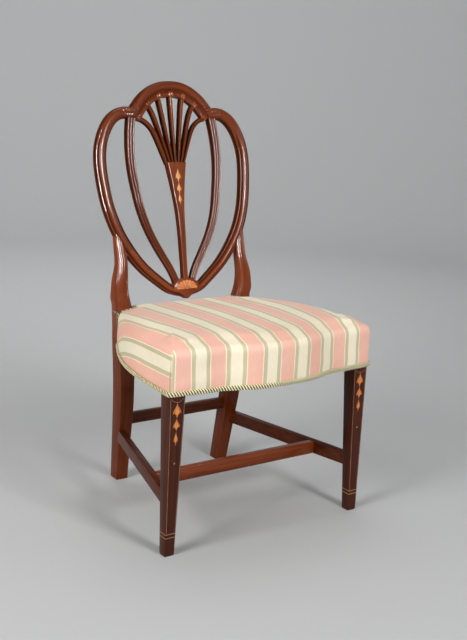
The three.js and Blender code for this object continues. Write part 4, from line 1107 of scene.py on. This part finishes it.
def leg_form():
    rings = [leg_ring(z, -0.8 if z < 1 else 0.0) for z in (0, 0.8, *np.linspace(3, RAIL_TOP, 60))]
    return Form(rings, [[((x - 250) * MM, y * MM, z * MM) for x, y, z in ring] for ring in rings])


def strip(points, width, seed):
    """A thin inlaid line on a leg's front, through points of its middle."""
    rings = []
    for index, (x, z) in enumerate(points):
        before, after = points[max(index - 1, 0)], points[min(index + 1, len(points) - 1)]
        run = math.hypot(after[0] - before[0], after[1] - before[1])
        ax, az = (after[1] - before[1]) / run * width / 2, -(after[0] - before[0]) / run * width / 2
        rings.append([on_leg(x + side * ax, z + side * az, forward)
                      for side, forward in ((-1, -0.8), (1, -0.8), (1, 0.12), (0, 0.2), (-1, 0.12))])
    return Form(rings, [[(x * MM + seed, y * MM, z * MM) for x, y, z in ring] for ring in rings])


def swag_form():
    """Two thin inlaid lines that hang from the leg's upper corners to the top husk's tip."""
    form = Form()
    corner = SWAG_TOP - 1.0
    drop = SWAG_TOP - SWAG_TIP - 0.6
    for side in (-1, 1):
        start = leg_middle(corner) + side * (leg_size(corner) / 2 - SWAG_INSET)
        reach = leg_middle(SWAG_TIP) - start
        line = [(start + reach * t, SWAG_TOP - drop * (1 - (1 - t) ** 1.7)) for t in np.linspace(0, 1, 12)]
        form.merge(strip(line, SWAG_WIDTH, 0.2))
    return form


def dot_form(z, radius):
    """A round inlaid dot on a leg's middle line."""
    levels = ((-0.8, 1), (0.1, 1), (0.3, 0.8), (0.36, 0.3))
    return Form([[on_leg(leg_middle(z) + radius * scale * c, z + radius * scale * s, forward)
                  for c, s in circle(20)] for forward, scale in levels])


def cuff_form(middle):
    """A thin band round a leg, a little proud of its faces."""
    rings = [leg_ring(middle + CUFF_HALF * up, grow) for up, grow in (
        (-1, -CUFF_DEEP), (-1, CUFF_PROUD * 0.6), (-0.5, CUFF_PROUD),
        (0.5, CUFF_PROUD), (1, CUFF_PROUD * 0.6), (1, -CUFF_DEEP))]
    return Form(rings, [[(x * MM, z * MM, y * MM) for x, y, z in ring] for ring in rings], looped=True)


both("tapered_leg", leg_form(), dark_mahogany, ["front_leg"])
for name, width, height, bottom in husk_row(RAIL_BOTTOM - LEG_DROP, LEG_HUSKS):
    form = petals(on_leg, leg_middle(bottom + height / 2), bottom, width, height, LEG_PROUD, 0.4)
    both(f"bellflower_{name}", form, satinwood, [f"leg_husk_{name}"], sharp=60)
for name, place, seed in (("outer", lambda z: SEAT_HALF - STRING_INSET, 0.1),
                          ("inner", lambda z: SEAT_HALF - leg_size(z) + STRING_INSET, 0.3)):
    line = [(place(z), z) for z in (STRING_BOTTOM, STRING_TOP)]
    both(f"inlaid_line_{name}", strip(line, STRING_WIDTH, seed), boxwood, [f"leg_string_{name}"])
both("inlaid_dot", dot_form(DOT_PLACE, DOT_RADIUS), boxwood, ["leg_dot"])
both("inlaid_tip_dot", dot_form(TIP_DOT_PLACE, TIP_DOT_RADIUS), boxwood)
both("inlaid_swag", swag_form(), boxwood)
for name, middle in CUFF_PLACES:
    both(f"inlaid_band_{name}", cuff_form(middle), boxwood, [f"leg_cuff_{name}"])


# Stretchers, rails and the seat's base
STRETCHER_EDGE, STRAP_EDGE, HESSIAN_EDGE = 1.4, 0.3, 0.25


def vectors(mesh, name="co"):
    """A value with three parts of each vertex, such as its place."""
    values = np.zeros(len(mesh.vertices) * 3)
    mesh.vertices.foreach_get(name, values)
    return values.reshape(-1, 3)


def softened(node, name, material, width, grain_axis):
    """A copy of a node's solid with rounded edges and its grain along one axis."""
    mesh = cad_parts[node].data.copy()
    mesh.name = name
    mesh.materials.clear()
    mesh.materials.append(material)
    with edited(mesh) as bm:
        bmesh.ops.remove_doubles(bm, verts=bm.verts, dist=0.01 * MM)
        bmesh.ops.dissolve_limit(bm, angle_limit=math.radians(1.0), verts=bm.verts, edges=bm.edges)
        bmesh.ops.recalc_face_normals(bm, faces=bm.faces)
    order = [axis for axis in range(3) if axis != grain_axis] + [grain_axis]
    store(mesh, vectors(mesh)[:, order] + 0.1 * len(name))
    obj = linked(name, mesh)
    finish(obj, [node], bevel=width)
    return obj


# The side and rear stretchers under the seat take mahogany with painted shade; the middle one does not.
for node, name, material, axis in (("side_stretcher_right", "stretcher_right", shaded_mahogany, 1),
                                   ("side_stretcher_left", "stretcher_left", shaded_mahogany, 1),
                                   ("medial_stretcher", "stretcher_middle", mahogany, 0),
                                   ("rear_stretcher", "stretcher_rear", shaded_mahogany, 0)):
    softened(node, name, material, STRETCHER_EDGE, axis)
for node in ("front_rail", "rear_rail", "side_rail_right", "side_rail_left", "front_corner_block_right",
             "front_corner_block_left", "rear_corner_block_right", "rear_corner_block_left"):
    for material_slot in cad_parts[node].material_slots:
        material_slot.material = beech
for node in sorted(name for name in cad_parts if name.startswith("webbing")):
    name = node.replace("webbing", "strap")
    softened(node, name, webbing_cloth, STRAP_EDGE, 1)
hessian = softened("hessian", "hessian_sheet", hessian_cloth, HESSIAN_EDGE, 1)


# Seat
FRONT_BOW, REAR_EDGE = 34.5, 411.3
FRONT_TABLE = spline([(0, 1), (0.21, 0.95), (0.36, 0.69), (0.45, 0.47), (0.56, 0.27), (0.7, 0.2),
                      (0.85, 0.1), (1, 0)])
SIDE_TABLE = spline([(0, 1), (0.11, 1), (0.22, 0.985), (0.34, 0.955), (0.47, 0.89), (0.63, 0.73),
                     (0.78, 0.48), (0.91, 0.21), (1, 0)])
post_outer, _, post_front, _ = post_at(RAIL_BOTTOM + 33)
# Height of the stuffed top over its level, by the distance from the wall
EDGE = spline([(0, -15), (1.2, -8), (4.5, -1), (10, 2.6), (17, 5), (34, 10), (53, 12.8), (90, 14.3)])
WALL, CORNER, CLOTH_THICK = 2.9, 4.0, 2.2  # the wall counts from the rails to the cover's outer face
SEAT_MIDDLE, SEAT_LEVEL, CORE_INSET, CORE_CORNER = 192.0, 455.0, 64, 30.0
REAR_FALL, FALL_START, FALL_SPAN = 14.0, 109.6, 300
DIP, DIP_PLACE, DIP_HALF, DIP_START, DIP_SPAN = 8.0, 151, 22, 330, 43
VOXEL, FARTHEST, SLIDE, SWELL, PINNED = 4.6, 5.0, 2.0, 2.5, RAIL_BOTTOM + 9
SIMULATED, EVENED = 20, 14  # frames of the simulation, and rounds that even out small lumps
FOLD_ASIDE, FOLD_HALF, FOLD_TOP, FOLD_SPAN, FOLD_DEPTH = 1.6, 2.4, 446, 14, 1.6
# The stripes draw together towards the rear, by a share for each millimetre of depth
DRAWN, DRAWN_TO, DRAWN_START, DRAWN_SPAN, WALL_BLEND, CLOTH_TOP = 0.0007, 170, 40, 150, 45, 436.4
CORE_REACHES = (0.05, 0.15, 0.27, 0.4, 0.53, 0.66, 0.79, 0.9)
INSETS = (CORE_INSET, 53, 43, 34, 25, 17, 10, 6.5, 4, 2, 0.8, 0)
WALL_SHARES = (0.85, 0.7, 0.55, 0.4, 0.25, 0.12, 0)
CLOTH = {"quality": 5, "mass": 0.25, "tension_stiffness": 12, "compression_stiffness": 12,
         "shear_stiffness": 4, "bending_stiffness": 0.6, "use_pressure": True,
         "uniform_pressure_force": 4.0, "vertex_group_mass": "pins"}


def front_face(x):
    """Depth of the bowed front rail's face at a place across."""
    return -FRONT_BOW * float(np.interp(min(abs(x) / SEAT_HALF, 1), FRONT_TABLE[:, 0], FRONT_TABLE[:, 1]))


def side_face(y):
    """Place of the right side rail's bowed face at a depth."""
    share = float(np.interp(min(max(y / post_front, 0), 1), SIDE_TABLE[:, 0], SIDE_TABLE[:, 1]))
    return post_outer + (SEAT_HALF - post_outer) * share


def seat_outline(outward, corner, count=64):
    """The seat's outline in plan, anticlockwise from the middle of the front, moved outward."""
    half = []
    for k in range(count):
        x = 0.94 * SEAT_HALF * k / (count - 1)
        slope = (front_face(x + 3) - front_face(x - 3)) / 6
        length = math.hypot(slope, 1)
        half.append((x + outward * slope / length, front_face(x) - outward / length))
    cx, cy = SEAT_HALF + outward - corner, corner - outward
    half += [(cx + corner * math.cos(a), cy + corner * math.sin(a)) for a in np.linspace(-math.pi / 2, 0, 7)]
    half += [(side_face(y) + outward, y) for y in np.linspace(0.06 * post_front, post_front + 22, count)]
    end = half[-1][0]
    half += [(end * t, REAR_EDGE + outward) for t in np.linspace(0.98, 0, 24)]
    return half + [(-x, y) for x, y in reversed(half[1:-1])]


def seat_height(x, y, inset):
    """Height of the stuffed top, which falls towards the rear and dips in front of the posts."""
    fall = REAR_FALL * eased(y, FALL_START, FALL_SPAN)
    dip = DIP * math.exp(-((abs(x) - DIP_PLACE) / DIP_HALF) ** 2) * eased(y, DIP_START, DIP_SPAN)
    return SEAT_LEVEL + float(np.interp(inset, EDGE[:, 0], EDGE[:, 1])) - fall - dip


def cover_form():
    """The padded seat as one closed form, from the crown's middle down the walls and across below."""
    rings = []
    for reach in CORE_REACHES:
        spots = [(x * reach, SEAT_MIDDLE + (y - SEAT_MIDDLE) * reach)
                 for x, y in seat_outline(WALL - CORE_INSET, CORE_CORNER)]
        inset = CORE_INSET + 90 * (1 - reach)
        rings.append([np.array([x, y, seat_height(x, y, inset)]) for x, y in spots])
    for inset in INSETS:
        outline = seat_outline(WALL - inset, CORNER + 0.4 * inset)
        rings.append([np.array([x, y, seat_height(x, y, inset)]) for x, y in outline])
    wall, low = seat_outline(WALL, CORNER), RAIL_BOTTOM + 0.2
    for part in WALL_SHARES:
        rings.append([np.array([x, y, low + (seat_height(x, y, 0) - low) * part]) for x, y in wall])
    for reach in (0.9, 0.7, 0.4, 0.1):
        rings.append(ring_at([(x * reach, SEAT_MIDDLE + (y - SEAT_MIDDLE) * reach) for x, y in wall], low))
    return Form(rings)


def swelled(obj, start):
    """How far each vertex moves when the form swells under tight cloth."""
    pins = obj.vertex_groups.new(name="pins")
    for index, point in enumerate(start):
        if point[2] < PINNED * MM:
            pins.add([index], 1.0, "REPLACE")
    cloth = obj.modifiers.new("cloth", "CLOTH")
    for name, value in CLOTH.items():
        setattr(cloth.settings, name, value)
    cloth.settings.effector_weights.gravity = 0
    cloth.collision_settings.use_collision = False
    scene = bpy.context.scene
    for step in range(1, SIMULATED + 1):
        scene.frame_set(step)
    depsgraph = bpy.context.evaluated_depsgraph_get()
    moved = vectors(obj.evaluated_get(depsgraph).to_mesh())
    obj.modifiers.clear()
    scene.frame_set(1)
    return moved - start


def held_back(vector, limit):
    """Vectors, shortened to a limit where they are longer."""
    length = np.linalg.norm(vector, axis=1, keepdims=True)
    return vector * np.minimum(1.0, limit * MM / np.maximum(length, 1e-9))


def padded_cloth(obj):
    """Remeshes a closed form evenly, lets it swell, and limits and evens out how far it moves."""
    remesh = obj.modifiers.new("remesh", "REMESH")
    remesh.mode = "VOXEL"
    remesh.voxel_size = VOXEL * MM
    apply_modifiers(obj)
    mesh = obj.data
    start = vectors(mesh)
    shift = held_back(swelled(obj, start), FARTHEST)
    normals = vectors(mesh, "normal")
    outward = np.sum(shift * normals, axis=1, keepdims=True)
    sink = np.where(np.abs(normals[:, 2:]) > 0.6, 2.0, 0.3) * MM
    along = held_back(shift - normals * outward, SLIDE)
    shift = along + normals * np.clip(outward, -sink, SWELL * MM)
    ends = np.zeros(len(mesh.edges) * 2, np.int32)
    mesh.edges.foreach_get("vertices", ends)
    first, second = ends.reshape(-1, 2).T
    beside = np.maximum(np.bincount(ends, minlength=len(start)), 1)[:, None]
    for _ in range(EVENED):
        around = np.zeros_like(shift)
        np.add.at(around, first, shift[second])
        np.add.at(around, second, shift[first])
        shift = 0.4 * shift + 0.6 * around / beside
    mesh.vertices.foreach_set("co", (start + shift).ravel())
    mesh.update()


def cut_post(side):
    """All that lies behind a post's front face and outside its inner face, to cut the cloth round it."""
    rings = []
    far_out, far_back, lowest, highest = 320, 480, 340, 500
    for z in np.linspace(lowest, highest, 24):
        _, inner, front, _ = post_at(z)
        left, near = inner - 0.5, front + 0.6
        rings.append(ring_at([(left, near), (far_out, near), (far_out, far_back), (left, far_back)], z))
    form = Form(rings)
    return solid(f"cut_{side}", form if side == "right" else form.mirrored())


def open_below(obj):
    """Takes off the underside, and gives the cloth a thickness inward."""
    with edited(obj.data) as bm:
        bm.normal_update()
        doomed = [face for face in bm.faces
                  if face.calc_center_median().z < (RAIL_BOTTOM + 1.5) * MM and face.normal.z < -0.5]
        bmesh.ops.delete(bm, geom=doomed, context="FACES")
    modifier = obj.modifiers.new("wall", "SOLIDIFY")
    modifier.thickness = CLOTH_THICK * MM
    modifier.offset = -1
    apply_modifiers(obj)


def crease_corners(mesh):
    """Presses in the fold at each front corner, and marks it with painted shade for the cloth's colour."""
    shade = mesh.attributes.new("shade", "FLOAT", "POINT")
    fold_shade = np.zeros(len(mesh.vertices))
    cx, cy = SEAT_HALF + WALL - CORNER, CORNER - WALL
    quarter = math.pi / 4 * CORNER
    for vertex in mesh.vertices:
        x, y, z = vertex.co / MM
        y -= SHIFT
        dx, dy = abs(x) - cx, y - cy
        if dx > 0 and dy < 0:
            way = math.atan2(dy, dx) * CORNER + quarter
        elif dx > 0:
            way = quarter + dy
        else:
            way = dx - quarter
        depth = math.exp(-((way - FOLD_ASIDE) / FOLD_HALF) ** 2) * eased(FOLD_TOP - z, 0, FOLD_SPAN)
        if depth > 0.01 and y < 30:
            fold_shade[vertex.index] = depth
            vertex.co -= Vector((math.copysign(0.7, x), -0.7, 0)) * (FOLD_DEPTH * depth * MM)
    shade.data.foreach_set("value", fold_shade.astype(np.float32))


def cloth_map(mesh):
    """Stores where each corner of each face lies on the flat cloth: across and along the stripes."""
    layer = mesh.uv_layers.new(name="cloth")
    co = vectors(mesh) / MM
    co[:, 1] -= SHIFT
    coords = np.zeros(len(mesh.loops) * 2)
    for polygon in mesh.polygons:
        middle = polygon.center / MM
        my = middle.y - SHIFT
        edge = side_face(my) + WALL + 0.3
        sign = 1 if middle.x > 0 else -1
        side_like = abs(polygon.normal.x) > abs(polygon.normal.y) * 1.02 or my > 6
        on_wall = side_like and edge - abs(middle.x) < 60 and my > -2
        for loop in polygon.loop_indices:
            x, y, z = co[mesh.loops[loop].vertex_index]
            drawn = DRAWN * min(max(y, 0), DRAWN_TO) * eased(abs(x), DRAWN_START, DRAWN_SPAN)
            across = abs(x) * (1 - drawn)
            if on_wall:
                mixed = eased(edge, abs(x), WALL_BLEND)
                across = (side_face(y) + CLOTH_TOP - z) * (1 - mixed) + across * mixed
                along = y
            else:
                along = y - max(0, SEAT_LEVEL - z)
            coords[2 * loop] = sign * across * MM
            coords[2 * loop + 1] = along * MM
    layer.data.foreach_set("uv", coords)


cover = solid("seat_cloth", cover_form())
padded_cloth(cover)
cover.modifiers.new("finer", "SUBSURF").levels = 1
apply_modifiers(cover)
combine(cover, [cut_post("right"), cut_post("left")], "DIFFERENCE")
open_below(cover)
crease_corners(cover.data)
cloth_map(cover.data)
cover.data.materials.clear()
cover.data.materials.append(silk_cloth)
finish(cover, ["seat_cover", "stuffing"], 50.0)


# Trim
TRIM_OUT, TRIM_UP, TRIM_CORNER = 5.4, RAIL_BOTTOM + 5.5, 8.0
TRIM_HEIGHT, TRIM_DEPTH, TRIM_PITCH, STRANDS = 11.0, 5.4, 12.8, 4
STRAND_RADIUS, CORE_RADIUS = 1.45, 2.2


def trim_path():
    """The line along the cover's lower edge, from post to post round the front."""
    outline = seat_outline(TRIM_OUT, TRIM_CORNER, 80)
    right = [(x, y) for x, y in outline[:len(outline) // 2 + 1] if y < post_front + 1 and x >= 0]
    left = [(-x, y) for x, y in reversed(right[1:])]
    return Track([(x, y, TRIM_UP) for x, y in left + right])


def trim_form(track):
    """A cord of four strands, cream and sage by turns, twisted round a core."""
    form = Form()
    turns = round(track.length / TRIM_PITCH)
    steps = turns * 12
    for index in range(STRANDS):
        path = []
        for step in range(steps + 1):
            share = step / steps
            centre, along = track.at(share), track.tangent(share)
            out = np.array([along[1], -along[0], 0])
            angle = -2 * math.pi * (turns * share + index / STRANDS)
            path.append(centre + out * (TRIM_DEPTH / 2 - STRAND_RADIUS) * math.cos(angle)
                        + np.array([0, 0, TRIM_HEIGHT / 2 - STRAND_RADIUS]) * math.sin(angle))
        tube(form, path, STRAND_RADIUS, 6, index % 2)
    tube(form, [track.at(step / 200) for step in range(201)], CORE_RADIUS, 8, 1)
    return form


make("twisted_trim", trim_form(trim_path()), [cream_yarn, sage_yarn], ["trim_cord"], sharp=80)


# Frayed edging
BRAID_LEVEL, BRAID_RADIUS, END_RADIUS, LOOP_RADIUS, THREAD_RADIUS = 445, 1.1, 0.32, 0.55, 0.6
ENDS, LOOPS, ASIDE, STITCH_PITCH, LEVEL_BESIDE = 95, 9, 2.5, 9.0, 440.0


def seat_top_finder():
    """A function that finds the height of the cover's top under a place in plan."""
    bm = bmesh.new()
    bm.from_mesh(cover.data)
    tree = BVHTree.FromBMesh(bm)
    bm.free()

    def height(x, y):
        hit = tree.ray_cast(Vector((x * MM, (y + SHIFT) * MM, 0.6)), Vector((0, 0, -1)))
        return hit[0].z / MM if hit[0] is not None else LEVEL_BESIDE
    return height


seat_top = seat_top_finder()


def edging(seed):
    """Frayed braid where the cover meets the right post: a thin braid, loose ends and small loops."""
    chance = random.Random(seed)
    form = Form()
    outer, inner, front, back = post_at(BRAID_LEVEL)
    corners = [(outer + 1, front + 22), (outer + 1, front - 0.8), ((outer + inner) / 2, front - 1.4),
               (inner - 1, front - 0.8), (inner - 1.6, back - 8)]
    route = Track(spline([(x, y, 0) for x, y in corners], 10))
    braid = []
    for share in np.linspace(0, 1, 60):
        x, y, _ = route.at(share)
        x += chance.uniform(-0.35, 0.35)
        y += chance.uniform(-0.35, 0.35)
        braid.append((x, y, seat_top(x, y - ASIDE) + 0.6 + chance.uniform(-0.3, 0.4)))
    tube(form, braid, BRAID_RADIUS)
    for _ in range(ENDS):
        x, y, _ = route.at(chance.random() ** 0.8)
        start = np.array([x, y, seat_top(x, y - ASIDE) + 0.5])
        lean = np.array([chance.uniform(-1, 1), -abs(chance.gauss(0.6, 0.4)), chance.uniform(0.25, 1.3)])
        lean /= np.linalg.norm(lean)
        length = chance.uniform(3.0, 7.5)
        bend = np.array([chance.uniform(-1, 1), chance.uniform(-1, 0.4), chance.uniform(-1, 0.2)])
        tube(form, [start + lean * length * t + bend * 1.6 * t * t for t in np.linspace(0, 1, 5)],
             END_RADIUS, 4, taper=0.75)
    for index in range(LOOPS):
        share = (index + 0.7) / (LOOPS + 0.6)
        x, y, _ = route.at(share)
        start = np.array([x, y - 1.2, seat_top(x, y - ASIDE) + 0.3])
        wide = route.tangent(share) * chance.uniform(1.5, 2.3)
        high = np.array([0, -0.4, 1.0]) * np.linalg.norm(wide)
        path = [start + wide * math.cos(t) + high * math.sin(t) for t in np.linspace(-0.4, math.pi + 0.4, 11)]
        tube(form, path, LOOP_RADIUS, 6, 1)
    return form


def whip_stitches():
    """Loops of thread down the cover's rear edge on the right side."""
    form = Form()
    x = side_face(post_front) + WALL + 0.2
    for z in np.arange(RAIL_BOTTOM + 14, 436, STITCH_PITCH):
        tube(form, [(x + 0.9 * math.sin(t), post_front - 0.4 - 2.2 * math.cos(t), z + 4.0 * t / math.pi)
                    for t in np.linspace(-0.3, math.pi + 0.3, 10)], THREAD_RADIUS)
    return form


for side, seed in (("right", 4), ("left", 9)):
    braid, thread = edging(seed), whip_stitches()
    if side == "left":
        braid, thread = braid.mirrored(), thread.mirrored()
    make(f"frayed_braid_{side}", braid, [fray_yarn, cream_yarn], sharp=80)
    make(f"edge_stitches_{side}", thread, cream_yarn, sharp=80)


# Stage, in metres
FLOOR_REACH, BEND_RADIUS, WALL_TOP, AROUND, BEND_STEPS = 3.4, 1.8, 6.0, 96, 12


def paper():
    """Pale, faintly mottled paper."""
    m = Nodes("studio_paper")
    color = rgb(186, 187, 188)
    mottle = m.noise(m.place(), 1.2, 2.0)
    m.set(Base_Color=m.mix(m.times(mottle, 0.06), (*color, 1), (*[c * 0.8 for c in color], 1)),
          Roughness=0.85, Specular_IOR_Level=0.2)
    return m.material


def studio():
    """A pale round sweep: a flat floor that rises to a wall far from the chair."""
    line = [(1.5, 0.0), (FLOOR_REACH, 0.0)]
    for k in range(1, BEND_STEPS + 1):
        angle = math.pi / 2 * k / BEND_STEPS
        line.append((FLOOR_REACH + BEND_RADIUS * math.sin(angle), BEND_RADIUS * (1 - math.cos(angle))))
    line.append((FLOOR_REACH + BEND_RADIUS, WALL_TOP))
    verts = [(0, 0, 0)] + [(radius * c, radius * s, z) for radius, z in line for c, s in circle(AROUND)]
    turns = [(1 + k, 1 + (k + 1) % AROUND) for k in range(AROUND)]
    faces = [(0, a, b) for a, b in turns]
    for row in range(0, (len(line) - 1) * AROUND, AROUND):
        faces += [(row + a, row + AROUND + a, row + AROUND + b, row + b) for a, b in turns]
    mesh = bpy.data.meshes.new("studio")
    mesh.from_pydata(verts, [], faces)
    mesh.materials.append(paper())
    mesh.shade_smooth()
    linked("studio", mesh)


def area_light(name, place, target, size, power, color=(1, 1, 1), shine_only=False):
    """A soft light; one that gives shine only is seen in polish but lights nothing else."""
    data = bpy.data.lights.new(name, "AREA")
    data.shape = "RECTANGLE"
    data.size, data.size_y = size
    data.energy = power
    data.color = color
    obj = linked(name, data)
    obj.location = place
    obj.rotation_euler = (Vector(target) - Vector(place)).to_track_quat("-Z", "Y").to_euler()
    obj.visible_diffuse = not shine_only


# The camera stands and looks as the photograph's camera did
AZIMUTH, PITCH, ROLL = math.radians(34.258), math.radians(14.261), math.radians(2.844)
CAMERA_PLACE = Vector((-1291.6 * MM, (-1725.6 + SHIFT) * MM, 1035.8 * MM))
FOCAL_SHARE, SENSOR = 1.622234, 36.0  # focal length by the picture's height


def camera():
    """The camera, from its direction and its roll."""
    level = math.cos(PITCH)
    ahead = Vector((math.sin(AZIMUTH) * level, math.cos(AZIMUTH) * level, -math.sin(PITCH)))
    right = Vector((math.cos(AZIMUTH), -math.sin(AZIMUTH), 0))
    up = right.cross(ahead)
    turned_right = right * math.cos(ROLL) + up * math.sin(ROLL)
    turned_up = -right * math.sin(ROLL) + up * math.cos(ROLL)
    data = bpy.data.cameras.new("camera")
    data.sensor_fit = "VERTICAL"
    data.sensor_height = SENSOR
    data.lens = SENSOR * FOCAL_SHARE
    data.clip_end = 50
    obj = linked("camera", data)
    matrix = Matrix((turned_right, turned_up, -ahead)).transposed().to_4x4()
    matrix.translation = CAMERA_PLACE
    obj.matrix_world = matrix
    bpy.context.scene.camera = obj


studio()
camera()
target = (0, 0.05, 0.55)
# Place, target, width and height, and watts of each lamp
area_light("left_box", (-2.9, -0.6, 1.7), target, (1.1, 1.4), 80, (1, 0.99, 0.97))
area_light("front_box", (0.5, -3.2, 2.1), target, (0.8, 1.1), 80)
area_light("front_strip", (-0.5, -3.3, 2.0), target, (0.32, 1.3), 330, shine_only=True)
area_light("near_strip", (-1.75, -2.5, 2.0), target, (0.24, 1.2), 105, shine_only=True)
area_light("right_strip", (2.9, -0.75, 1.2), target, (0.3, 1.9), 24, (1, 0.98, 0.96), shine_only=True)
area_light("top_box", (0.3, 0.6, 3.2), target, (1.6, 1.6), 18)
area_light("backdrop_box", (0.4, 1.5, 3.0), (2.3, 5.0, 0.6), (1.6, 0.8), 62)

world = bpy.data.worlds.new("world")
world.use_nodes = True
background = world.node_tree.nodes["Background"]
background.inputs["Color"].default_value = (1.0, 0.99, 0.97, 1)
background.inputs["Strength"].default_value = 0.12
bpy.context.scene.world = world
bpy.context.scene.view_settings.view_transform = "Standard"
